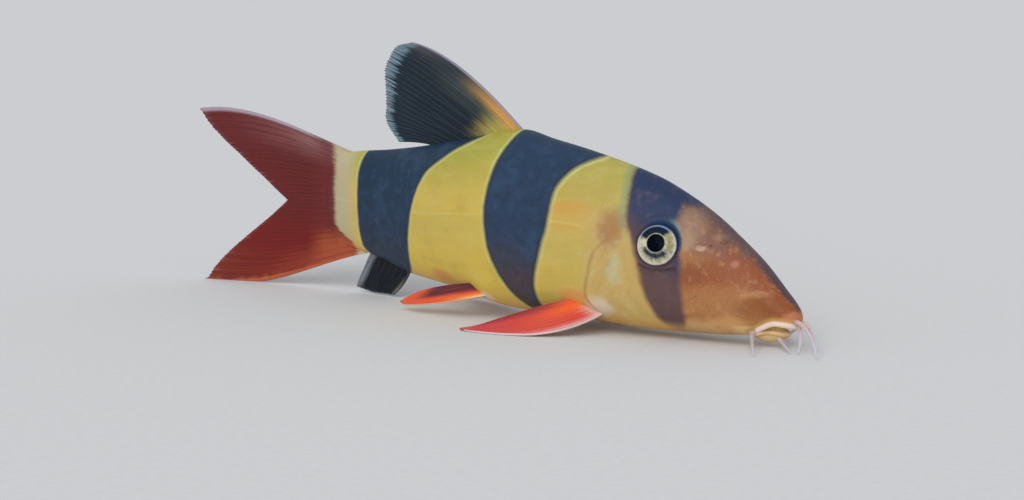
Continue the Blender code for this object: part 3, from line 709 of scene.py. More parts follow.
# %% [markdown]
# ## Writing paint as formulas
# A shader is a graph of nodes, but a finish is easier to read as a formula. The class below wraps
# one socket: arithmetic on it adds Math nodes, and one method adds any other node. Colours are
# mixed by Mix nodes, since a Math node would turn them grey.

# %% Wires
class Wire:
    """One output socket of a shader's node tree."""

    def __init__(self, tree, socket=None):
        self.tree, self.socket = tree, socket

    def node(self, kind, settings=None, sockets=None, output=0):
        """Adds a node: its settings first, then the values or links of its sockets."""
        made = self.tree.nodes.new(kind)
        for name, value in (settings or {}).items():
            setattr(made, name, value)
        for name, value in (sockets or {}).items():
            if isinstance(value, Wire):
                self.tree.links.new(value.socket, made.inputs[name])
            else:
                made.inputs[name].default_value = value
        return Wire(self.tree, made.outputs[output] if made.outputs else None)

    def math(self, operation, *values):
        """A Math node with this wire or others as its values."""
        return self.node("ShaderNodeMath", {"operation": operation}, dict(enumerate(values)))

    def __add__(self, other):
        return self.math("ADD", self, other)

    __radd__ = __add__

    def __sub__(self, other):
        return self.math("SUBTRACT", self, other)

    def __rsub__(self, other):
        return self.math("SUBTRACT", other, self)

    def __mul__(self, other):
        return self.math("MULTIPLY", self, other)

    __rmul__ = __mul__

    def __truediv__(self, other):
        return self.math("DIVIDE", self, other)

    def __pow__(self, other):
        return self.math("POWER", self, other)

    def step(self, low, high):
        """A smooth step of this value from 0 at low to 1 at high; low may be the larger one."""
        sockets = {"Value": self, "From Min": low, "From Max": high}
        return self.node("ShaderNodeMapRange", {"interpolation_type": "SMOOTHSTEP"}, sockets)

    def bell(self, middle, width):
        """1 at the middle, falling smoothly to 0 at the width on both sides."""
        return self.math("ABSOLUTE", self - middle).step(width, 0.0)


def attribute(tree, name, output=2):
    """A measure of the mesh: output 2 is a number, 1 a vector."""
    return Wire(tree).node("ShaderNodeAttribute", {"attribute_name": name}, output=output)


def blend(factor, first, second):
    """The colour that goes from first to second as the factor goes from 0 to 1."""
    settings = {"data_type": "RGBA", "clamp_factor": True}
    return factor.node("ShaderNodeMix", settings, {0: factor, 6: first, 7: second}, output=2)


def parts_of(vector):
    """The three numbers of a vector."""
    first = vector.node("ShaderNodeSeparateXYZ", {}, {0: vector})
    return [Wire(vector.tree, socket) for socket in first.socket.node.outputs]


def noise(vector, scale, detail=2.0, roughness=0.5):
    """A soft random field from 0 to 1."""
    sockets = {"Vector": vector, "Scale": scale, "Detail": detail, "Roughness": roughness}
    return vector.node("ShaderNodeTexNoise", {}, sockets)


def stretched(vector, factors):
    """The vector with each of its parts multiplied, which makes a noise on it finer that way."""
    return vector.node("ShaderNodeVectorMath", {"operation": "MULTIPLY"}, {0: vector, 1: factors})


def tint(red, green, blue):
    """A screen colour, 0 to 255, as the linear light that shaders use."""
    part = np.array([red, green, blue]) / 255
    linear = np.where(part <= 0.04045, part / 12.92, ((part + 0.055) / 1.055) ** 2.4)
    return (*linear.tolist(), 1.0)


def new_finish(name):
    """An empty material, and its tree of nodes."""
    material = bpy.data.materials.new(name)
    material.use_nodes = True
    material.node_tree.nodes.clear()
    return material, material.node_tree


def finished(tree, constants, links):
    """A Principled shader: constants are set on its own sockets, and links vary over the surface."""
    base = Wire(tree)
    shader = base.node("ShaderNodeBsdfPrincipled", {}, {**constants, **links})
    base.node("ShaderNodeOutputMaterial", {}, {"Surface": shader})


# %% [markdown]
# ## Painting the skin
# The living colours come in layers. The ground is yellow, olive on the back, warmer on the lower
# flank and golden beneath. The head in front of the eye band is tan, with an orange swath and soft
# patches, each an ellipse with a ragged edge; one small pale spot on the snout is a painted highlight.
# The bands go over it with a pale rim outside and a soft, slightly noisy border, and the lips, the
# slit and the gill edge come last, with painted shade in the slit, in the crease of the mouth and
# round the sunken eye, painted shade and highlight along the gill edge, and a painted glint in front
# of the eye. A thin wet coat lies over all of it.

# %% Colours of the skin
YELLOW = tint(194, 171, 82)
WARM_YELLOW = tint(210, 180, 74)
OLIVE_YELLOW = tint(162, 160, 64)
PALE_YELLOW = tint(178, 157, 90)
PALE_RIM = tint(206, 208, 140)
GREEN_RIM = tint(112, 136, 116)
CREAM = tint(184, 172, 136)
BAND_BLUE = tint(34, 56, 82)
BAND_SLATE = tint(40, 58, 84)
BAND_BROWN = tint(80, 59, 53)
REAR_BAND_BLUE = tint(20, 46, 69)
EYE_BAND_BLUE = tint(40, 54, 86)
EYE_BAND_BROWN = tint(94, 70, 70)
CHEEK_TAN = tint(163, 110, 68)
SNOUT_BROWN = tint(127, 86, 70)
SNOUT_DUSK = tint(78, 68, 78)
NOSE_DUSK = tint(78, 58, 66)
SWATH_ORANGE = tint(143, 78, 44)
SWATH_BROWN = tint(136, 83, 58)
GILL_YELLOW = tint(188, 159, 95)
LIP_PINK = tint(226, 206, 190)
LIP_GOLD = tint(196, 152, 86)
JAW_GOLD = tint(214, 182, 128)
CHIN_GOLD = tint(216, 176, 122)
TAIL_RED = tint(102, 40, 40)
TAIL_ORANGE = tint(168, 84, 50)
FLOW_TAN = tint(172, 146, 66)
FLOW_PALE = tint(208, 196, 126)
MOTTLE_TAN = tint(170, 142, 70)
CLOUD_TAN = tint(178, 150, 62)
CLOUD_PALE = tint(200, 184, 104)
UNDERSIDE_GOLD = tint(218, 165, 88)
ARC_TAN = tint(160, 122, 76)
ARC_SILVER = tint(194, 188, 148)
BLOTCH_RUST = tint(132, 68, 38)
CHEEK_LIGHT = tint(194, 144, 104)
CHEEK_SHADE = tint(124, 76, 54)
BAND_LIGHT = tint(60, 80, 106)
BAND_DEEP = tint(28, 38, 54)
BAND_CLOUD = tint(52, 80, 112)
BAND_EDGE = tint(40, 40, 44)
BAND_GLINT = tint(112, 134, 158)
EYE_BAND_MOTTLE = tint(108, 88, 92)
EYE_BAND_REAR = tint(110, 78, 56)
EYE_BAND_RIM = tint(112, 146, 122)
GILL_SHADE = tint(146, 112, 70)
GILL_RIM = tint(206, 190, 146)
# Painted shade in the slit of the spine and round the sunken eye, with a blue crescent of it under the
# brow
SLIT_SHADE = tint(52, 40, 44)
EYE_SOCKET_SHADE = tint(64, 54, 64)
BROW_SHADE_BLUE = tint(30, 58, 92)
SEAT_GLINT = tint(120, 152, 146)
LOWER_LIP_GOLD = tint(206, 176, 138)
# Painted shade in the crease between the lips
CREASE_SHADE = tint(160, 120, 94)
TAIL_STREAK = tint(112, 38, 32)
GRAIN_PALE = tint(226, 214, 190)
GRAIN_DARK = tint(110, 84, 56)

# Soft patches, each as (station, height), the two radii, colour, strength
SNOUT_PATCHES = (
    ((0.170, 0.182), (0.028, 0.034), tint(146, 116, 95), 0.90),
    ((0.172, 0.160), (0.016, 0.018), tint(166, 138, 108), 0.70),
    ((0.130, 0.060), (0.055, 0.020), tint(166, 116, 72), 0.60),
    ((0.140, 0.022), (0.085, 0.020), tint(200, 160, 106), 0.95),
    ((0.100, 0.036), (0.034, 0.014), tint(200, 150, 94), 0.72),
)
SNOUT_SPOTS_AND_HIGHLIGHT = (
    ((0.062, 0.082), (0.028, 0.007), tint(186, 136, 90), 0.55),
    ((0.052, 0.064), (0.046, 0.020), tint(134, 76, 34), 0.66),
    ((0.149, 0.151), (0.011, 0.006), tint(206, 176, 150), 0.60),
    # A small pale pink spot on the snout: a painted highlight
    ((0.096, 0.125), (0.008, 0.006), tint(196, 134, 108), 0.50),
    ((0.125, 0.166), (0.012, 0.007), tint(164, 134, 114), 0.40),
    ((0.008, 0.048), (0.018, 0.010), tint(196, 122, 88), 0.75),
)
SHOULDER_PATCHES = (
    ((0.294, 0.172), (0.026, 0.036), tint(158, 114, 72), 0.82),
    ((0.284, 0.112), (0.014, 0.030), tint(182, 180, 144), 0.65),
    ((0.366, 0.203), (0.042, 0.013), tint(200, 148, 72), 0.65),
    ((0.372, 0.172), (0.036, 0.007), tint(200, 154, 80), 0.40),
    ((0.372, 0.186), (0.050, 0.030), tint(198, 158, 82), 0.40),
    ((0.352, 0.058), (0.036, 0.016), tint(206, 142, 82), 0.70),
    ((0.312, 0.050), (0.026, 0.020), tint(216, 200, 188), 0.62),
    ((0.600, 0.044), (0.060, 0.014), tint(208, 150, 74), 0.70),
    ((0.664, 0.061), (0.040, 0.015), tint(206, 134, 62), 0.75),
    ((0.548, 0.040), (0.018, 0.010), tint(228, 216, 206), 0.60),
)


# %% Finish of the skin
def with_patches(ground, patches, station, height, warp, sway):
    """Soft ellipses, their outlines shaken by two noises so that they look grown."""
    for (at_station, at_height), (long, tall), colour, strength in patches:
        across = (station - at_station + warp * 0.022) / long
        up = (height - at_height + sway * 0.020) / tall
        inside = (across * across + up * up).step(1.3, 0.0) * strength
        ground = blend(inside, ground, colour)
    return ground


def body_ground(straight, station, share, height, cloud, mottle):
    """Olive on the back, warm below, orange streaks on the shoulder and cream at the tail."""
    flow = noise(stretched(straight, (14.0, 1.0, 60.0)), 1.0, 3.0) - 0.5
    ground = blend(share.step(0.62, 0.95), YELLOW, OLIVE_YELLOW)
    ground = blend((share + cloud * 0.2).step(0.50, 0.15) * 0.9, ground, WARM_YELLOW)
    ground = blend((share + cloud * 0.3).bell(0.58, 0.16) * 0.35, ground, WARM_YELLOW)
    ground = blend((station + cloud * 0.05).step(0.46, 0.36) * 0.50, ground, PALE_YELLOW)
    ground = blend(flow.step(0.0, 0.22) * 0.20, ground, FLOW_TAN)
    ground = blend(flow.step(0.0, -0.22) * 0.16, ground, FLOW_PALE)
    ground = blend(mottle.step(0.02, 0.22) * 0.18, ground, MOTTLE_TAN)
    ground = blend(cloud.step(0.02, 0.22) * 0.30, ground, CLOUD_TAN)
    ground = blend(cloud.step(-0.02, -0.22) * 0.25, ground, CLOUD_PALE)
    ground = blend((station + cloud * 0.02).step(0.915, 0.974), ground, CREAM)
    ground = blend(station.step(0.350, 0.315) * share.step(0.80, 0.60), ground, GILL_YELLOW)
    ground = blend(share.step(0.14, 0.0) * 0.7, ground, UNDERSIDE_GOLD)
    return with_patches(ground, SHOULDER_PATCHES, station, height, mottle, cloud)


def with_arcs(ground, tree, station, share, height, mottle):
    """The cheek behind the eye: faint arcs, side by side with the gill cover's edge, since the
    distance to that edge is stretched more than the height in their noise."""
    gill = attribute(tree, "gill")
    bent = gill.node("ShaderNodeCombineXYZ", {}, {0: gill * 0.6, 1: height * 30.0, 2: mottle * 0.8})
    arcs = noise(bent, 1.0, 4.0, 0.6) - 0.5
    where = station.step(0.236, 0.262) * station.step(0.350, 0.320) * share.step(0.86, 0.66)
    ground = blend(arcs.step(0.02, 0.24) * where * 0.42, ground, ARC_TAN)
    return blend(arcs.step(-0.02, -0.24) * where * 0.42, ground, ARC_SILVER)


def snout_ground(tree, station, share, height, cloud, mottle, grain):
    """Golden cheeks, brown above, and a ragged swath of orange from the eye to the nose, with dusk
    along the ridge."""
    ground = blend((share + cloud * 0.20).step(0.58, 0.80), CHEEK_TAN, SNOUT_BROWN)
    ground = with_patches(ground, SNOUT_PATCHES, station, height, mottle, cloud)
    away = attribute(tree, "swath") + mottle * 4.2 + cloud * 2.4 + (grain - 0.5) * 1.2
    ground = blend(away.step(3.3, 0.6) * 0.94, ground, SWATH_ORANGE)
    ground = blend(away.step(2.0, 0.2) * station.step(0.120, 0.160) * 0.6, ground, SWATH_BROWN)
    blotch = (cloud + mottle * 0.6).step(0.0, 0.22) * away.step(3.4, 0.8)
    ground = blend(blotch * 0.5, ground, BLOTCH_RUST)
    ground = blend(mottle.step(-0.02, -0.20) * 0.38, ground, CHEEK_LIGHT)
    ground = blend(mottle.step(0.04, 0.22) * 0.36, ground, CHEEK_SHADE)
    ground = with_patches(ground, SNOUT_SPOTS_AND_HIGHLIGHT, station, height, mottle, cloud)
    ridge = (share + cloud * 0.10 + mottle * 0.10).step(0.90, 1.01)
    ground = blend(ridge * 0.88, ground, SNOUT_DUSK)
    nose = (share + cloud * 0.08 + mottle * 0.10).step(0.92, 1.0) * station.step(0.085, 0.03)
    return blend(nose * station.step(0.000, 0.016), ground, NOSE_DUSK)


def with_bands(ground, tree, station, share, cloud, mottle, grain):
    """The three dark bands, each with a thin pale line outside it, clearest on the back. Only the
    rear edge of the band through the eye has that line."""
    ragged = mottle * 0.0035 + (grain - 0.5) * 0.0018
    band = attribute(tree, "band") + ragged
    eye_band = attribute(tree, "eye_band") + ragged * 2.2
    clear = (share.step(0.60, 0.90) * 0.30 + 0.18) * (mottle * 2.0 + 1.0)
    ground = blend(band.bell(-0.0050, 0.0046) * clear, ground, PALE_RIM)
    ground = blend(band.bell(-0.0008, 0.0038) * 0.55, ground, GREEN_RIM)
    dark = blend(share.step(0.95, 0.55), BAND_BLUE, BAND_SLATE)
    dark = blend((share + cloud * 0.15).step(0.50, 0.10) * 0.9, dark, BAND_BROWN)
    dark = blend(station.step(0.55, 0.60) * 0.85, dark, REAR_BAND_BLUE)
    dark = blend(mottle.step(0.0, 0.22) * 0.34, dark, BAND_LIGHT)
    dark = blend(mottle.step(0.0, -0.22) * 0.38, dark, BAND_DEEP)
    dark = blend(cloud.step(0.0, 0.20) * 0.30, dark, BAND_CLOUD)
    dark = blend(band.bell(0.0030, 0.0050) * 0.40, dark, BAND_EDGE)
    dark = blend(grain.step(0.60, 0.80) * 0.16, dark, BAND_GLINT)
    ground = blend(band.step(-0.0030, 0.0034), ground, dark)
    lean = share - (station - 0.22) * 3.0 + cloud * 0.2
    dim = blend(lean.step(0.74, 0.44), EYE_BAND_BLUE, EYE_BAND_BROWN)
    dim = blend(mottle.step(0.0, 0.2) * 0.3, dim, EYE_BAND_MOTTLE)
    behind = station.step(0.222, 0.246) * share.step(0.75, 0.50)
    dim = blend(eye_band.step(0.014, 0.0) * behind * 0.85, dim, EYE_BAND_REAR)
    rear_edge = station.step(0.225, 0.245) * share.step(0.55, 0.72)
    ground = blend(eye_band.bell(-0.0060, 0.0090) * rear_edge * 0.45, ground, EYE_BAND_RIM)
    return blend(eye_band.step(-0.0060, 0.0070) * share.step(0.0, 0.12), ground, dim)


def with_lines(ground, tree, station, share, height, mottle):
    """The gill cover's edge, with painted shade behind it and a painted highlight in front of it; painted
    shade in the slit of the spine and round the sunken eye, with a blue crescent of it under the brow;
    and a painted glint on the skin in front of the eye.
    """
    gill = attribute(tree, "gill")
    low_edge = share.step(0.60, 0.46) * share.step(0.05, 0.14)
    shade = gill.bell(0.30, 0.60) * low_edge * (mottle * 1.2 + 0.35)
    ground = blend(shade, ground, GILL_SHADE)
    shine = gill.bell(-0.60, 0.50) * low_edge * (mottle * 1.6 + 0.14)
    ground = blend(shine, ground, GILL_RIM)
    # Painted shade in the slit of the spine
    ground = blend(attribute(tree, "slit").step(0.60, 0.08) * 0.55, ground, SLIT_SHADE)
    eye_away = attribute(tree, "eye_away")
    # Painted shade round the sunken eye
    ground = blend(eye_away.step(1.12, 0.90) * 0.55, ground, EYE_SOCKET_SHADE)
    # A blue crescent of painted shade under the brow, above and in front of the eye
    above_in_front = (height - EYE_PLACE[1]) * 0.8 + (EYE_PLACE[0] - station) * 0.6
    crescent = eye_away.step(1.08, 0.98) * above_in_front.step(0.004, 0.028)
    ground = blend(crescent * 0.85, ground, BROW_SHADE_BLUE)
    glint = eye_away.bell(1.09, 0.15) * (EYE_PLACE[0] - station).bell(0.027, 0.018)
    return blend(glint * (height - EYE_PLACE[1]).step(0.002, 0.020) * 0.45, ground, SEAT_GLINT)


def with_mouth(ground, tree, station, height):
    """A golden lower jaw, warmer in front, pale lips with a golden border, and painted shade in the
    crease between them."""
    upper, lower = attribute(tree, "upper_lip"), attribute(tree, "lower_lip")
    chin = height.step(0.037, 0.029) * station.step(0.108, 0.080)
    ground = blend(chin, ground, JAW_GOLD)
    ground = blend(station.step(0.036, 0.024) * height.step(0.034, 0.026), ground, CHIN_GOLD)
    ground = blend(lower.step(0.70, 0.30) * 0.60, ground, LOWER_LIP_GOLD)
    ground = blend(upper.step(1.45, 0.75) * 0.8, ground, LIP_GOLD)
    ground = blend(upper.step(0.80, 0.40), ground, LIP_PINK)
    # Painted shade in the crease between the lips
    crease = (upper - lower).bell(0.08, 0.10) * upper.step(1.3, 0.9)
    return blend(crease * 0.20, ground, CREASE_SHADE)


def skin_bump(straight, grain, mottle):
    """Tiny scales, as the distance to the borders of random cells, with a fine grain over them."""
    cells = {"Vector": stretched(straight, (1.0, 1.5, 1.5)), "Scale": 190.0}
    scales = straight.node("ShaderNodeTexVoronoi", {"feature": "DISTANCE_TO_EDGE"}, cells)
    raised = scales.step(0.0, 0.12) * 0.5 + grain * 0.5 + mottle * 0.8
    return straight.node("ShaderNodeBump", {}, {"Strength": 0.22, "Distance": 0.00012, "Height": raised})


def tail_border(station, height, streak):
    """0 on the flesh and 1 on the tail fin. The border lies farther back along the top, where pale
    streaks run out on the rays, and farther forward along the bottom."""
    place_of_border = station - height.step(0.225, 0.262) * 0.004 + height.step(0.130, 0.090) * 0.056
    return (place_of_border + streak * 0.022).step(0.996, 1.017)


def tail_red(height, streak):
    """The colour behind the border, on the flesh as on the fin: maroon, and orange at the bottom."""
    red = blend(height.step(0.128, 0.088), TAIL_RED, TAIL_ORANGE)
    return blend(streak.step(0.0, 0.14) * 0.45, red, TAIL_STREAK)


def skin_finish():
    """The layers from the ground up, over three noises: wide clouds, mottling and a fine grain."""
    material, tree = new_finish("loach_skin")
    straight = attribute(tree, "straight", output=1)
    station, _, height = parts_of(straight)
    share = attribute(tree, "share")
    cloud = noise(straight, 22.0, 3.0) - 0.5
    mottle = noise(straight, 64.0, 4.0, 0.6) - 0.5
    grain = noise(stretched(straight, (1.0, 1.6, 1.6)), 420.0, 2.0)
    body = body_ground(straight, station, share, height, cloud, mottle)
    snout = snout_ground(tree, station, share, height, cloud, mottle, grain)
    ground = blend(station.step(0.210, 0.185), body, snout)
    ground = with_arcs(ground, tree, station, share, height, mottle)
    line = attribute(tree, "line").bell(0.0, 0.012) * station.step(0.31, 0.36)
    ground = blend(line * (mottle + 0.22), ground, PALE_RIM)
    ground = blend((grain - 0.5 + mottle * 0.8).step(0.08, 0.38) * 0.22, ground, GRAIN_PALE)
    ground = blend((0.5 - grain + mottle * 0.6).step(0.08, 0.38) * 0.16, ground, GRAIN_DARK)
    ground = with_bands(ground, tree, station, share, cloud, mottle, grain)
    streak = noise(stretched(straight, (8.0, 20.0, 150.0)), 1.0, 3.0) - 0.5
    ground = blend(tail_border(station, height, streak), ground, tail_red(height, streak))
    ground = with_lines(ground, tree, station, share, height, mottle)
    ground = with_mouth(ground, tree, station, height)
    constants = {
        "Coat Weight": 0.08,
        "Coat Roughness": 0.28,
        "Specular IOR Level": 0.15,
        "Subsurface Weight": 0.10,
        "Subsurface Scale": 0.0012,
        "Subsurface Radius": (1.0, 0.5, 0.3),
    }
    links = {
        "Base Color": ground,
        "Roughness": grain * 0.16 + 0.42,
        "Normal": skin_bump(straight, grain, mottle),
    }
    finished(tree, constants, links)
    return material


def dress(piece, material, slot, *nodes):
    """Gives a finished piece its material, and has it stand for its nodes of the solids."""
    piece.data.materials.clear()
    piece.data.materials.append(material)
    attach(piece, "root")
    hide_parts(*nodes)


dress(skin, skin_finish(), "trunk", "head", "trunk", "tail_stalk")
print("paint of the skin:", len(skin.data.materials[0].node_tree.nodes), "nodes")

# %% [markdown]
# ## Eyes
# An eye is a ball flattened along the way it looks, sunk so deep that only its cap shows. Its rings
# lie at even steps of an angle from the pole that looks out, and the sine of the angle gives the
# radius, its cosine the depth. Where each point lies on the eye's own axes, forward, up and out, is
# stored as an attribute, so that the iris can be painted in polar terms: a black pupil with a grey
# ring, sectors of silver, olive and navy, and a bright border. The pupil sits a little above the
# middle, so the paint measures its way from there.

# %% Eyeballs
EYE_RINGS = 60
EYE_SIDES = 96
PUPIL = 0.375
# How far forward and up the middle of the pupil lies, in radii of the eye
PUPIL_OFF = (0.02, 0.05)
IRIS_DULL = tint(146, 144, 120)
IRIS_SILVER = tint(204, 198, 168)
IRIS_BRIGHT = tint(214, 208, 184)
IRIS_OLIVE = tint(158, 144, 66)
IRIS_GREY = tint(120, 124, 112)
IRIS_LOW_NAVY = tint(38, 46, 60)
IRIS_NAVY = tint(26, 38, 58)
BORDER_WHITE = tint(220, 214, 204)
BORDER_BLUE = tint(96, 124, 156)
LID_BROWN = tint(84, 68, 74)
# The blue of the eye's edge is painted shade under the brow
LID_SHADE_BLUE = tint(26, 50, 84)
PUPIL_RING = tint(142, 148, 142)
PUPIL_BLACK = tint(5, 9, 20)


def eyeball(name, hand):
    """An ellipsoid: out = depth cos a, radius = R sin a, for a from 0 at the pole that looks out."""
    centre, out = eye_frame(hand)
    up = np.array([0.0, 0.0, 1.0]) - out * out[2]
    up /= np.linalg.norm(up)
    forward = np.cross(out, up) * hand
    polar = np.linspace(0, math.pi, EYE_RINGS + 2)[1:-1, None]
    turn = np.linspace(0, 2 * math.pi, EYE_SIDES, endpoint=False)[None]
    own = np.stack(
        np.broadcast_arrays(np.sin(polar) * np.cos(turn), np.sin(polar) * np.sin(turn), np.cos(polar)),
        axis=-1,
    )
    axes = np.array([forward * EYE_RADIUS, up * EYE_RADIUS, out * EYE_HALF_DEPTH])
    tips = (centre + axes[2], centre - axes[2])
    ball = tube(name, centre + own @ axes, tips)
    poles = np.array([[0.0, 0.0, 1.0], [0.0, 0.0, -1.0]])
    own = np.concatenate([own.reshape(-1, 3), poles])
    add_measure(ball.data, "own", own)
    add_measure(ball.data, "eye_rim", np.hypot(own[:, 0], own[:, 1]))
    return ball


def towards(ahead, above, degrees):
    """1 in a direction given in degrees up from straight ahead, -1 in the opposite one: the cosine
    of the angle between the two."""
    turn = math.radians(degrees)
    return ahead * math.cos(turn) + above * math.sin(turn)


def iris_sectors(ahead, above, away, fibres, flecks):
    """Silver fibres, brightest low behind, with olive in front and navy above and below."""
    iris = blend(fibres.step(0.32, 0.72), IRIS_DULL, IRIS_SILVER)
    iris = blend(towards(ahead, above, 205).step(0.30, 0.95) * 0.6, iris, IRIS_BRIGHT)
    olive = towards(ahead, above, 16).step(0.60, 0.92) * (away + flecks * 0.16).bell(0.56, 0.16)
    iris = blend(olive * 0.85, iris, IRIS_OLIVE)
    grey = towards(ahead, above, -8).step(0.84, 0.97) * away.bell(0.54, 0.12)
    iris = blend(grey * 0.5, iris, IRIS_GREY)
    lower = (towards(ahead, above, -96) + flecks * 0.5).step(0.30, 0.66)
    iris = blend(lower * (away + flecks * 0.20).bell(0.52, 0.23), iris, IRIS_LOW_NAVY)
    upper = (towards(ahead, above, 102) + flecks * 0.2).step(0.38, 0.66)
    return blend(upper * (away + flecks * 0.08).step(0.39, 0.43), iris, IRIS_NAVY)


def eye_finish():
    """Painted by the distance from the pupil's middle, and towards a few directions."""
    material, tree = new_finish("loach_eye")
    own = attribute(tree, "own", output=1)
    forward, up, _ = parts_of(own)
    forward, up = forward - PUPIL_OFF[0], up - PUPIL_OFF[1]
    away = (forward * forward + up * up) ** 0.5
    from_middle = attribute(tree, "eye_rim")
    ahead, above = forward / (away + 0.0001), up / (away + 0.0001)
    polar = own.node("ShaderNodeCombineXYZ", {}, {0: ahead * 2.4, 1: above * 2.4, 2: away * 1.4})
    fibres = noise(polar, 3.0, 3.0, 0.55)
    flecks = noise(own, 9.0, 3.0) - 0.5
    iris = iris_sectors(ahead, above, away, fibres, flecks)
    shine = from_middle.bell(0.775, 0.055)
    iris = blend(shine * 0.60, iris, BORDER_WHITE)
    over = towards(ahead, above, 92).step(0.35, 0.80)
    iris = blend(shine * over * 0.8, iris, BORDER_BLUE)
    # The eye's edge: the brown of the skin, and towards the top and front a blue painted shade under the
    # brow
    lid_and_shade = blend(towards(ahead, above, 48).step(-0.25, 0.45), LID_BROWN, LID_SHADE_BLUE)
    iris = blend((from_middle + flecks * 0.02).step(0.80, 0.85), iris, lid_and_shade)
    iris = blend(away.bell(PUPIL + 0.022, 0.024) * 0.75, iris, PUPIL_RING)
    colour = blend(away.step(PUPIL + 0.012, PUPIL - 0.012), iris, PUPIL_BLACK)
    normal = own.node("ShaderNodeBump", {}, {"Strength": 0.20, "Distance": 0.0001, "Height": fibres})
    constants = {
        "Coat Weight": 0.06,
        "Coat Roughness": 0.06,
        "Coat IOR": 1.36,
        "Specular IOR Level": 0.0,
    }
    links = {
        "Base Color": colour,
        "Roughness": fibres * 0.2 + 0.28,
        "Metallic": away.bell(0.62, 0.22) * 0.25,
        "Normal": normal,
    }
    finished(tree, constants, links)
    return material


eye_paint = eye_finish()
for name, hand in (("eye_left", 1), ("eye_right", -1)):
    ball = eyeball(name.replace("eye", "eyeball"), hand)
    dress(ball, eye_paint, "eye", name)
print("eyes:", EYE_RINGS * EYE_SIDES, "faces each")

# %% [markdown]
# ## Fins
# A fin is a thin skin over bony rays. Each ray is single at the root and forks twice on its way to
# the margin. The fin's middle sheet is a row of cubic curves from root to margin, blended across
# the fin. Its thickness is the film plus a ridge over each ray. A fork comes cheaply from folding:
# the distance x to the nearest ray becomes | |x| - b(t) |, which is zero on two lines that part as
# b grows, and folding again gives four.

# %% Fin surfaces
TAIL_MIDDLE = 0.168
FLOOR_EASE = 0.004
FLOOR_CLEARANCE = 0.02 * MILLIMETRE
DORSAL_GUIDES = {
    0.00: ((0.486, 0, 0.300), (0.585, 0, 0.388), (0.700, 0, 0.456), (0.795, 0, 0.470)),
    0.16: ((0.520, 0, 0.300), (0.620, 0, 0.372), (0.735, 0, 0.436), (0.843, 0, 0.464)),
    0.42: ((0.572, 0, 0.290), (0.665, 0, 0.335), (0.770, 0, 0.385), (0.872, 0, 0.420)),
    0.75: ((0.640, 0, 0.280), (0.712, 0, 0.303), (0.795, 0, 0.328), (0.874, 0, 0.340)),
    1.00: ((0.686, 0, 0.274), (0.735, 0, 0.290), (0.785, 0, 0.2915), (0.836, 0, 0.2895)),
}
ANAL_GUIDES = {
    0.0: ((0.800, 0, 0.066), (0.812, 0, 0.040), (0.830, 0, 0.018), (0.853, 0, 0.003)),
    0.5: ((0.852, 0, 0.082), (0.870, 0, 0.052), (0.888, 0, 0.024), (0.910, 0, 0.002)),
    1.0: ((0.906, 0, 0.092), (0.926, 0, 0.066), (0.942, 0, 0.040), (0.957, 0, 0.010)),
}
CAUDAL_GUIDES = {
    0.00: ((0.925, 0, 0.259), (1.060, 0, 0.282), (1.210, 0, 0.366), (1.341, 0, 0.345)),
    0.15: ((0.950, 0, 0.249), (1.060, 0, 0.266), (1.190, 0, 0.320), (1.310, 0, 0.306)),
    0.45: ((0.968, 0, 0.222), (1.060, 0, 0.237), (1.155, 0, 0.256), (1.245, 0, 0.250)),
    0.75: ((0.980, 0, 0.196), (1.045, 0, 0.201), (1.112, 0, 0.205), (1.178, 0, 0.201)),
    1.00: ((0.985, 0, 0.168), (1.035, 0, 0.168), (1.085, 0, 0.168), (1.133, 0, 0.168)),
}
PECTORAL_GUIDES = {
    0.0: ((0.300, 0.040, 0.046), (0.330, 0.100, 0.010), (0.400, 0.152, -0.009), (0.500, 0.158, -0.002)),
    0.5: ((0.318, 0.045, 0.054), (0.372, 0.095, 0.034), (0.436, 0.135, 0.010), (0.512, 0.152, 0.000)),
    1.0: ((0.336, 0.050, 0.061), (0.390, 0.088, 0.052), (0.440, 0.113, 0.031), (0.490, 0.136, 0.007)),
}
PELVIC_GUIDES = {
    0.0: ((0.530, 0.035, 0.046), (0.575, 0.070, 0.032), (0.645, 0.090, 0.016), (0.716, 0.089, 0.011)),
    0.5: ((0.550, 0.042, 0.053), (0.600, 0.068, 0.044), (0.662, 0.084, 0.029), (0.730, 0.086, 0.015)),
    1.0: ((0.570, 0.048, 0.060), (0.610, 0.064, 0.057), (0.652, 0.071, 0.048), (0.694, 0.077, 0.034)),
}
FILM_HALF = 0.09 * MILLIMETRE
RAY_HALF = 0.20 * MILLIMETRE
LEAD_RAY_HALF = 0.10 * MILLIMETRE
# Widths of a ridge, in spacings between rays: at the root, what it loses on the way to the rim, and
# where it holds the rim out
RIDGE_WIDTH, RIDGE_NARROWING, RIM_RIDGE_WIDTH = 0.15, 0.085, 0.07
WAVES_ACROSS, WAVES_ALONG = 2.2, 0.8
FIN_ROWS = 76
COLUMNS_PER_RAY = 14


def bezier(points, t):
    """a (1-t)^3 + 3 b (1-t)^2 t + 3 c (1-t) t^2 + d t^3, for arrays of points."""
    a, b, c, d = points
    s = 1 - t
    return a * s**3 + 3 * b * s * s * t + 3 * c * s * t * t + d * t**3


def guides_at(guides, share):
    """The four points of the cubic curve at each share across the fin, as (4, share, 3)."""
    shares = sorted(guides)
    table = np.array([guides[key] for key in shares], float)
    blended = [
        [through(list(zip(shares, table[:, point, axis])), share) for axis in range(3)]
        for point in range(4)
    ]
    return np.array(blended).transpose(0, 2, 1)


def fan_sheet(guides, share, t):
    """Station, side and height of the fin's middle sheet, for shares across and t from root to rim."""
    return bezier(guides_at(guides, share)[:, None], t[..., None])


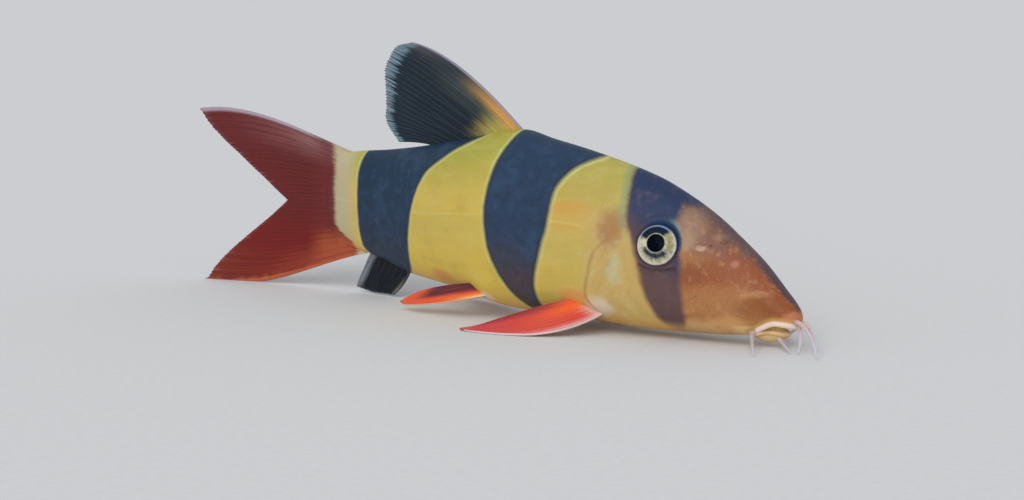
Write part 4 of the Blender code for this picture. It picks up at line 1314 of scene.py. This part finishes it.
def tail_sheet(guides, share, t):
    """Both lobes of the tail in one sheet: the lower lobe is the upper one turned over its middle,
    with its edge bent to lie along the floor."""
    folded = 1 - np.abs(2 * share - 1)
    sheet = fan_sheet(guides, folded, t)
    lowered = 2 * TAIL_MIDDLE - sheet[..., 2]
    easing = smooth_step(0.12, 0.03, lowered)
    rest = RAY_HALF / STANDARD_LENGTH
    lowered = lowered + (eased(lowered, 0.3 * rest) - lowered) * easing
    sheet[..., 2] = np.where(share > 0.5, lowered, sheet[..., 2])
    return sheet


def eased(height, rest):
    """The height, but bent smoothly so that it never falls below rest."""
    over = height - rest
    return rest + (over + np.sqrt(over**2 + FLOOR_EASE**2)) / 2


def resting_sheet(guides, share, t):
    """A fin that lies on the floor where it would dip below it."""
    sheet = fan_sheet(guides, share, t)
    sheet[..., 2] = eased(sheet[..., 2], 0.6 * RAY_HALF / STANDARD_LENGTH)
    return sheet


def forked_distance(share, t, rays):
    """How far each place lies from the nearest branch, in spacings between rays."""
    x = np.abs((share * (rays - 1) + 0.5) % 1 - 0.5)
    first = 0.25 * smooth_step(0.22, 0.62, t)
    second = 0.125 * smooth_step(0.58, 0.92, t)
    return np.abs(np.abs(x - first) - second)


def ray_ridge(share, t, rays, width):
    """1 on the middle of each branch, falling as exp(-(distance / width)^2)."""
    return np.exp(-((forked_distance(share, t, rays) / width) ** 2))


def rim_reach(share, t, rays, fringe, random):
    """How far along its guide each place lies. The rim draws back between the branches, and a
    little more or less at random."""
    uneven = np.interp(share, np.linspace(0, 1, 4 * rays), random.uniform(0, 1, 4 * rays))
    between = 1 - ray_ridge(share, 1.0, rays, RIM_RIDGE_WIDTH)
    return t * (1 - fringe * t**6 * (0.7 * between + 0.5 * uneven))


def half_thickness(share, t, ridge, rays):
    """The film, plus the ridges and a stouter first ray, all of them thinner towards the rim."""
    lead = bump(share, 0.0, 0.6 / rays)
    half = FILM_HALF * (1 - 0.45 * t) + (RAY_HALF - FILM_HALF) * ridge * (1 - 0.70 * t)
    return half + LEAD_RAY_HALF * lead * (1 - 0.6 * t)


def slab_faces(rows, columns):
    """Quads over two like grids that lie back to back, and round the rim between them."""
    a = np.arange(rows - 1)[:, None] * columns + np.arange(columns - 1)
    front = np.stack([a, a + 1, a + 1 + columns, a + columns], axis=-1).reshape(-1, 4)
    back = front[:, ::-1] + rows * columns
    whole = np.arange(rows * columns).reshape(rows, columns)
    rim = np.concatenate([whole[0], whole[1:, -1], whole[-1, -2::-1], whole[-2:0:-1, 0]])
    after = np.roll(rim, -1)
    edge = np.stack([rim, rim + rows * columns, after + rows * columns, after], axis=-1)
    return np.concatenate([front, back, edge])


def blade(name, sheet_of, guides, rays, hand=1, ripple=0.0, fringe=0.03, seed=1):
    """A fin as one closed solid: the middle sheet, rippled from side to side, and both faces set off
    it along its normal by the half thickness."""
    random = np.random.default_rng(seed)
    columns = COLUMNS_PER_RAY * (rays - 1) + 1
    share = np.linspace(0, 1, columns)[None]
    t = np.linspace(0, 1, FIN_ROWS)[:, None]
    ridge = ray_ridge(share, t, rays, RIDGE_WIDTH - RIDGE_NARROWING * t)
    sheet = sheet_of(guides, share[0], rim_reach(share, t, rays, fringe, random))
    wave = ripple * np.sin(2 * math.pi * (WAVES_ACROSS * share + WAVES_ALONG * t)) * t**2
    middle = place(sheet[..., 0], hand * (sheet[..., 1] + wave), sheet[..., 2])
    normal = np.cross(np.gradient(middle, axis=0), np.gradient(middle, axis=1))
    normal /= np.linalg.norm(normal, axis=-1, keepdims=True)
    offset = normal * half_thickness(share, t, ridge, rays)[..., None]
    points = np.concatenate([(middle + offset).reshape(-1, 3), (middle - offset).reshape(-1, 3)])
    points[:, 2] = np.maximum(points[:, 2], FLOOR_CLEARANCE)
    fin = new_piece(name, points, slab_faces(FIN_ROWS, columns))
    measures = np.stack(np.broadcast_arrays(share, t, ridge), axis=-1).reshape(-1, 3)
    add_measure(fin.data, "fin", np.concatenate([measures, measures]))
    add_measure(fin.data, "straight", unbend(points))
    return fin


# %% [markdown]
# ## Painting the fins
# One recipe serves every fin: a film colour, a ray colour over the ridges, fine streaks along the
# rays, and a few tinted zones given as ranges of the share across and of the way to the rim. Near
# the rim the film is a little see-through, and the rays less so.

# %% Finish of the fins
FIN_SPECKLE = tint(20, 16, 20)


def with_zones(colour, zones, share, way, cloud, streak):
    """Tinted zones of a fin, their borders shaken across the rays and drawn out along them."""
    for (share_out, share_in), (way_out, way_in), paint, strength in zones:
        across = (share + cloud * 0.06 + streak * 0.03).step(share_out, share_in)
        along = (way + streak * 0.24).step(way_out, way_in)
        colour = blend(across * along * (streak * 1.4 + strength), colour, paint)
    return colour


def with_tail_root(colour, root, straight, streak):
    """The flesh of the tail over the fin's root, and just behind it the red that the skin ends in,
    so that no seam shows."""
    station, _, height = parts_of(straight)
    near = (station + streak * 0.04).step(1.090, 1.030)
    colour = blend(near * 0.75, colour, tail_red(height, streak))
    return blend(tail_border(station, height, streak), root, colour)


def fin_finish(name, film, ray, zones, rim, lead, streaks=90.0, clear=0.3, rim_start=0.80, root=None):
    """zones are (share range, way range, colour, strength): each fades in from its first value and
    is full at its second, in both directions. lead is the colour and the width of the first ray's
    edge. A root colour covers what still belongs to the flesh of the tail."""
    material, tree = new_finish(name)
    fin = attribute(tree, "fin", output=1)
    share, way, ridge = parts_of(fin)
    straight = attribute(tree, "straight", output=1)
    streak = noise(stretched(fin, (streaks, 2.0, 0.0)), 1.0, 3.0) - 0.5
    cloud = noise(straight, 30.0, 3.0) - 0.5
    speckle = noise(straight, 500.0, 2.0)
    colour = blend(ridge.step(0.20, 0.90) * 0.8 + streak * 1.2, film, ray)
    colour = with_zones(colour, zones, share, way, cloud, streak)
    fringe = (way + streak * 0.22).step(rim_start, rim_start + 0.06)
    colour = blend(fringe * (streak * 3.4 + 0.52), colour, rim)
    colour = blend(share.step(lead[1], lead[1] * 0.4) * 0.8, colour, lead[0])
    colour = blend((0.5 - speckle).step(0.0, 0.25) * 0.18, colour, FIN_SPECKLE)
    if root:
        colour = with_tail_root(colour, root, straight, streak)
    thin = (way + streak * 0.10).step(rim_start, 1.0) * (1 - ridge.step(0.15, 0.7) * 0.5)
    raised = ridge * 0.5 + speckle * 0.15 + streak * 0.4
    normal = fin.node("ShaderNodeBump", {}, {"Strength": 0.16, "Distance": 0.00012, "Height": raised})
    constants = {
        "Coat Weight": 0.06,
        "Coat Roughness": 0.30,
        "Specular IOR Level": 0.15,
        "Subsurface Weight": 0.15,
        "Subsurface Scale": 0.0008,
        "Subsurface Radius": (1.0, 0.4, 0.25),
    }
    links = {
        "Base Color": colour,
        "Roughness": streak * 0.2 + 0.48,
        "Alpha": 1 - thin * clear,
        "Normal": normal,
    }
    finished(tree, constants, links)
    return material


# A range that every place is past, for a zone that fills a fin in one direction
ANY = (-0.3, -0.2)

dorsal_paint = fin_finish(
    "dorsal_fin_paint", tint(14, 27, 38), tint(32, 49, 62),
    (
        ((0.36, 0.14), (0.80, 0.34), tint(92, 106, 96), 0.36),
        ((0.58, 0.30), (0.27, 0.09), tint(184, 168, 84), 0.88),
        ((0.18, 0.06), (0.54, 0.18), tint(208, 152, 80), 0.88),
        ((0.18, 0.03), (0.50, 0.85), tint(104, 102, 106), 0.34),
    ),
    rim=tint(118, 152, 170), lead=(tint(150, 144, 164), 0.022),
    streaks=64.0, clear=0.50, rim_start=0.887,
)
anal_paint = fin_finish(
    "anal_fin_paint", tint(9, 16, 23), tint(22, 30, 38),
    (
        ((0.80, 0.94), ANY, tint(146, 156, 164), 0.52),
        ((0.12, 0.02), (0.30, 0.70), tint(150, 146, 130), 0.50),
    ),
    rim=tint(60, 70, 80), lead=(tint(70, 72, 76), 0.03),
    streaks=44.0, clear=0.25, rim_start=0.93,
)
caudal_paint = fin_finish(
    "caudal_fin_paint", tint(90, 29, 31), tint(104, 36, 36),
    (
        ((0.48, 0.78), ANY, tint(110, 26, 23), 0.90),
        ((0.34, 0.06), (0.10, 0.50), tint(102, 44, 46), 0.40),
        ((0.22, 0.04), (0.90, 0.30), tint(166, 126, 122), 0.32),
        ((0.24, 0.08), (0.46, 0.12), tint(168, 150, 152), 0.40),
        ((0.72, 0.96), (0.60, 0.98), tint(128, 62, 46), 0.45),
        ((0.78, 0.97), (0.90, 0.35), tint(154, 68, 46), 0.54),
        ((0.965, 0.990), ANY, tint(190, 104, 70), 0.55),
    ),
    rim=tint(136, 96, 98), lead=(tint(170, 158, 172), 0.020),
    streaks=96.0, clear=0.12, rim_start=0.965, root=CREAM,
)
pectoral_paint = fin_finish(
    "pectoral_fin_paint", tint(204, 70, 56), tint(218, 90, 66),
    (
        ((0.20, 0.60), (0.56, 0.20), tint(242, 106, 40), 0.90),
        (ANY, (0.45, 0.95), tint(192, 66, 78), 0.75),
        # Dark maroon near the body on the trailing side: painted shade where the body shadows the fin
        ((0.58, 0.94), (0.10, 0.42), tint(120, 42, 56), 0.72),
        ((0.18, 0.03), (0.95, 0.25), tint(226, 184, 184), 0.62),
        ((0.80, 0.25), (0.22, 0.09), tint(224, 200, 186), 0.92),
    ),
    rim=tint(204, 112, 106), lead=(tint(226, 212, 216), 0.035),
    streaks=60.0, clear=0.15, rim_start=0.94,
)
pelvic_paint = fin_finish(
    "pelvic_fin_paint", tint(218, 84, 50), tint(232, 112, 62),
    (
        ((0.30, 0.54), (0.90, 0.60), tint(78, 42, 54), 0.90),
        ((0.34, 0.10), (0.62, 0.16), tint(244, 170, 84), 0.70),
        ((0.16, 0.04), (0.45, 0.12), tint(242, 212, 170), 0.80),
        (ANY, (0.60, 1.00), tint(216, 84, 66), 0.50),
    ),
    rim=tint(226, 124, 84), lead=(tint(236, 196, 160), 0.03),
    streaks=40.0, clear=0.15, rim_start=0.93,
)
print("paint of the tail fin:", len(caudal_paint.node_tree.nodes), "nodes")

# %% [markdown]
# ## Growing the fins
# Each fin starts inside the flesh, so its root never shows. The two lobes of the tail were parted in
# the solids, and here they are one fin.

# %% All fins
DORSAL_RAYS, ANAL_RAYS, CAUDAL_RAYS, PECTORAL_RAYS, PELVIC_RAYS = 12, 8, 20, 13, 8

dorsal = blade("dorsal_blade", fan_sheet, DORSAL_GUIDES, DORSAL_RAYS, ripple=0.0022, fringe=0.02, seed=3)
dress(dorsal, dorsal_paint, "dark_fin", "dorsal_fin")
anal = blade("anal_blade", resting_sheet, ANAL_GUIDES, ANAL_RAYS, ripple=0.0018, seed=5)
dress(anal, anal_paint, "dark_fin", "anal_fin")
caudal = blade("caudal_blade", tail_sheet, CAUDAL_GUIDES, CAUDAL_RAYS, ripple=0.0025, fringe=0.008, seed=7)
dress(caudal, caudal_paint, "red_fin", "caudal_fin_upper", "caudal_fin_lower")
# Kind, sheet, guide rays, count of rays, paint, seed
PAIRED_FINS = (
    ("pectoral", resting_sheet, PECTORAL_GUIDES, PECTORAL_RAYS, pectoral_paint, 9),
    ("pelvic", fan_sheet, PELVIC_GUIDES, PELVIC_RAYS, pelvic_paint, 11),
)
for hand_name, hand in (("left", 1), ("right", -1)):
    for kind, sheet_of, guides, rays, paint, seed in PAIRED_FINS:
        fin = blade(f"{kind}_blade_{hand_name}", sheet_of, guides, rays, hand, fringe=0.02, seed=seed)
        dress(fin, paint, "red_fin", f"{kind}_fin_{hand_name}")
print("tail fin:", len(caudal.data.polygons), "faces")

# %% [markdown]
# ## Feelers
# Four pairs of barbels hang from the snout and the lips. Each is a tapered round carried along a
# cubic curve. Their skin is thin, so they turn from a warm brown at the root to a pale lilac at the
# tip, where they let some light through.

# %% Barbels
BARBELS = {
    "rostral_outer_right": (
        (0.012, -0.010, 0.044), (-0.014, -0.026, 0.047), (-0.040, -0.050, 0.030), (-0.054, -0.072, 0.003),
    ),
    "rostral_outer_left": (
        (0.012, 0.010, 0.044), (0.010, 0.036, 0.036), (0.034, 0.052, 0.018), (0.056, 0.060, 0.003),
    ),
    "rostral_inner_right": (
        (0.010, -0.005, 0.041), (-0.006, -0.012, 0.036), (-0.012, -0.028, 0.018), (-0.013, -0.046, 0.003),
    ),
    "rostral_inner_left": (
        (0.010, 0.005, 0.041), (-0.014, 0.004, 0.042), (-0.026, -0.004, 0.022), (-0.030, -0.014, 0.003),
    ),
    "maxillary_right": (
        (0.068, -0.019, 0.024), (0.066, -0.042, 0.026), (0.048, -0.072, 0.016), (0.034, -0.098, 0.003),
    ),
    "maxillary_left": (
        (0.068, 0.019, 0.024), (0.068, 0.042, 0.026), (0.088, 0.062, 0.014), (0.104, 0.070, 0.003),
    ),
    "mandibular_right": (
        (0.036, -0.007, 0.017), (0.026, -0.016, 0.013), (0.012, -0.032, 0.008), (-0.002, -0.047, 0.003),
    ),
    "mandibular_left": (
        (0.036, 0.007, 0.017), (0.030, 0.016, 0.012), (0.028, 0.024, 0.007), (0.028, 0.032, 0.003),
    ),
}
BARBEL_ROOT_RADIUS = 0.42 * MILLIMETRE
BARBEL_TIP_RADIUS = 0.12 * MILLIMETRE
BARBEL_RINGS, BARBEL_SIDES = 70, 18
RIPPLE_SHARE, RIPPLE_PITCH = 0.03, 80
BARBEL_ROOT = tint(186, 120, 88)
BARBEL_MIDDLE = tint(214, 192, 188)
BARBEL_TIP = tint(212, 206, 218)
BARBEL_SPECK = tint(150, 122, 130)


def barbel(kind, curve):
    """A round whose radius falls with the way left to the tip, to the power of 0.75, and ends in a
    rounded point."""
    t = np.linspace(0, 1, BARBEL_RINGS)[:, None]
    straight = bezier(np.array(curve, float)[:, None], t)
    left = (1 - t[:, 0]) ** 0.75
    radii = BARBEL_TIP_RADIUS + (BARBEL_ROOT_RADIUS - BARBEL_TIP_RADIUS) * left
    radii = radii * (1 + RIPPLE_SHARE * np.sin(RIPPLE_PITCH * t[:, 0]))
    radii[-2:] *= (0.85, 0.45)
    feeler = carried(f"feeler_{kind}", place(*straight.T), radii, BARBEL_SIDES)
    add_measure(feeler.data, "way", np.concatenate([np.repeat(t[:, 0], BARBEL_SIDES), [0, 1]]))
    return feeler


def barbel_finish():
    """Painted by the way from the root to the tip, with fine specks."""
    material, tree = new_finish("barbel_skin")
    way = attribute(tree, "way")
    place_in_room = way.node("ShaderNodeTexCoord", output=3)
    speckle = noise(place_in_room, 2600.0, 2.0)
    colour = blend(way.step(0.02, 0.26), BARBEL_ROOT, BARBEL_MIDDLE)
    colour = blend(way.step(0.25, 0.80), colour, BARBEL_TIP)
    colour = blend(speckle.step(0.55, 0.75) * 0.25, colour, BARBEL_SPECK)
    normal = way.node("ShaderNodeBump", {}, {"Strength": 0.3, "Distance": 0.00005, "Height": speckle})
    constants = {
        "Coat Weight": 0.15,
        "Coat Roughness": 0.25,
        "Subsurface Weight": 0.3,
        "Subsurface Scale": 0.0008,
        "Subsurface Radius": (1.0, 0.85, 0.8),
    }
    links = {
        "Base Color": colour,
        "Roughness": speckle * 0.2 + 0.40,
        "Alpha": 0.95 - way.step(0.0, 0.9) * 0.40,
        "Normal": normal,
    }
    finished(tree, constants, links)
    return material


barbel_paint = barbel_finish()
for kind, curve in BARBELS.items():
    dress(barbel(kind, curve), barbel_paint, "barbel", f"barbel_{kind}")
print("barbels:", len(BARBELS))

# %% [markdown]
# ## Stage, light and camera
# The floor is a wide pale disc under an even pale sky. A sun as wide as a big lamp stands over the
# fish's right side, and a weaker one stands low on the same side and lights the lower flank, which
# is bright in the photo. Both are wide, because the photographed flank is lit almost flatly.
# A floor meets its sky in a line unless both send the same light, so the floor's tone is worked out
# from the lamps: a matt ground of tone a sends back a (sky + suns / pi), and a is chosen so that
# this is the sky's own light. The camera stands as the photo's did, low over the floor and a third
# of the way round to the snout. Its place was worked out from where the photo shows the eye, the
# snout, the edges of the bands and the roots of the fins.

# %% Lamps and sky
# Name: where it stands, seen from the fish, how wide it looks, its strength
SUNS = {
    "high_sun": (Vector((0.20, -1.0, 0.80)), math.radians(38), 0.92),
    "low_sun": (Vector((0.40, -1.0, 0.25)), math.radians(30), 0.78),
}
SKY = (0.95, 0.97, 1.0, 1.0)
SKY_STRENGTH = 0.63


def hang(light, away):
    """Puts a light at the end of the arrow away from the fish, looking back at it."""
    holder = bpy.data.objects.new(light.name, light)
    bpy.context.scene.collection.objects.link(holder)
    holder.location = away
    holder.rotation_euler = away.to_track_quat("Z", "Y").to_euler()


for name, (away, width, strength) in SUNS.items():
    sun = bpy.data.lights.new(name, "SUN")
    sun.energy, sun.angle = strength, width
    hang(sun, away)

world = bpy.data.worlds.new("studio")
bpy.context.scene.world = world
world.use_nodes = True
world.node_tree.nodes["Background"].inputs["Color"].default_value = SKY
world.node_tree.nodes["Background"].inputs["Strength"].default_value = SKY_STRENGTH
bpy.context.scene.view_settings.view_transform = "Standard"
print("lamps:", list(SUNS))

# %% Floor
FLOOR_RADII = (0.2, 1.0, 8.0, 60.0)
FLOOR_SIDES = 96


def floor_tone(lighter):
    """The ground's colour that sends back the sky's light, or that times lighter."""
    sky = np.array(SKY[:3]) * SKY_STRENGTH
    from_suns = sum(strength * away.normalized().z for away, _, strength in SUNS.values()) / math.pi
    return (*(lighter * sky / (sky + from_suns)).tolist(), 1.0)


def floor_disc():
    """Rings of growing radius round the origin, flat at height zero."""
    turn = np.linspace(0, 2 * math.pi, FLOOR_SIDES, endpoint=False)[None]
    radius = np.array(FLOOR_RADII)[:, None]
    rings = np.stack(np.broadcast_arrays(radius * np.cos(turn), radius * np.sin(turn), 0.0), axis=-1)
    inner = np.arange(FLOOR_SIDES)
    faces = list(ring_quads(len(FLOOR_RADII), FLOOR_SIDES)[:, ::-1]) + [inner]
    mesh = bpy.data.meshes.new("floor")
    mesh.from_pydata(rings.reshape(-1, 3).tolist(), [], [face.tolist() for face in faces])
    disc = bpy.data.objects.new("floor", mesh)
    bpy.context.scene.collection.objects.link(disc)
    material, tree = new_finish("pale_floor")
    ground = Wire(tree).node("ShaderNodeTexCoord", output=3)
    grain = noise(ground, 900.0, 2.0)
    colour = blend(grain.step(0.3, 0.7), floor_tone(0.985), floor_tone(1.015))
    finished(tree, {"Specular IOR Level": 0.0}, {"Base Color": colour, "Roughness": grain * 0.1 + 0.85})
    mesh.materials.append(material)
    disc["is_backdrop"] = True


floor_disc()
print("tone of the floor:", [round(part, 3) for part in floor_tone(1.0)[:3]])

# %% Camera
PHOTO_WIDTH = 1024
FOCAL_PIXELS = 1500.0
SENSOR_WIDTH = 36.0
CAMERA_TURN = math.radians(33.56)
CAMERA_TILT = math.radians(6.63)
CAMERA_PLACE = (0.867, -2.095, 0.410)

camera = bpy.data.objects.new("camera", bpy.data.cameras.new("camera"))
bpy.context.scene.collection.objects.link(camera)
camera.data.sensor_width = SENSOR_WIDTH
camera.data.lens = SENSOR_WIDTH * FOCAL_PIXELS / PHOTO_WIDTH
camera.data.clip_start = 0.001
camera.location = np.array(CAMERA_PLACE) * STANDARD_LENGTH + SHIFT
behind = Vector(
    (
        math.sin(CAMERA_TURN) * math.cos(CAMERA_TILT),
        -math.cos(CAMERA_TURN) * math.cos(CAMERA_TILT),
        math.sin(CAMERA_TILT),
    )
)
camera.rotation_euler = behind.to_track_quat("Z", "Y").to_euler()
bpy.context.scene.camera = camera
print("camera at", [round(part, 3) for part in camera.location], "metres")

# %% [markdown]
# ## Sizes
# Last, the box round the dressed fish is printed beside the box round its solids, since both have to
# be the same animal. Both boxes are measured in metres and printed in millimetres.

# %% Sizes, and the end
dressed_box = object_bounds()
for label, (low, high) in (("solids", solid_box), ("dressed", dressed_box)):
    print(label, [round((high[i] - low[i]) / MILLIMETRE, 2) for i in range(3)], "mm")
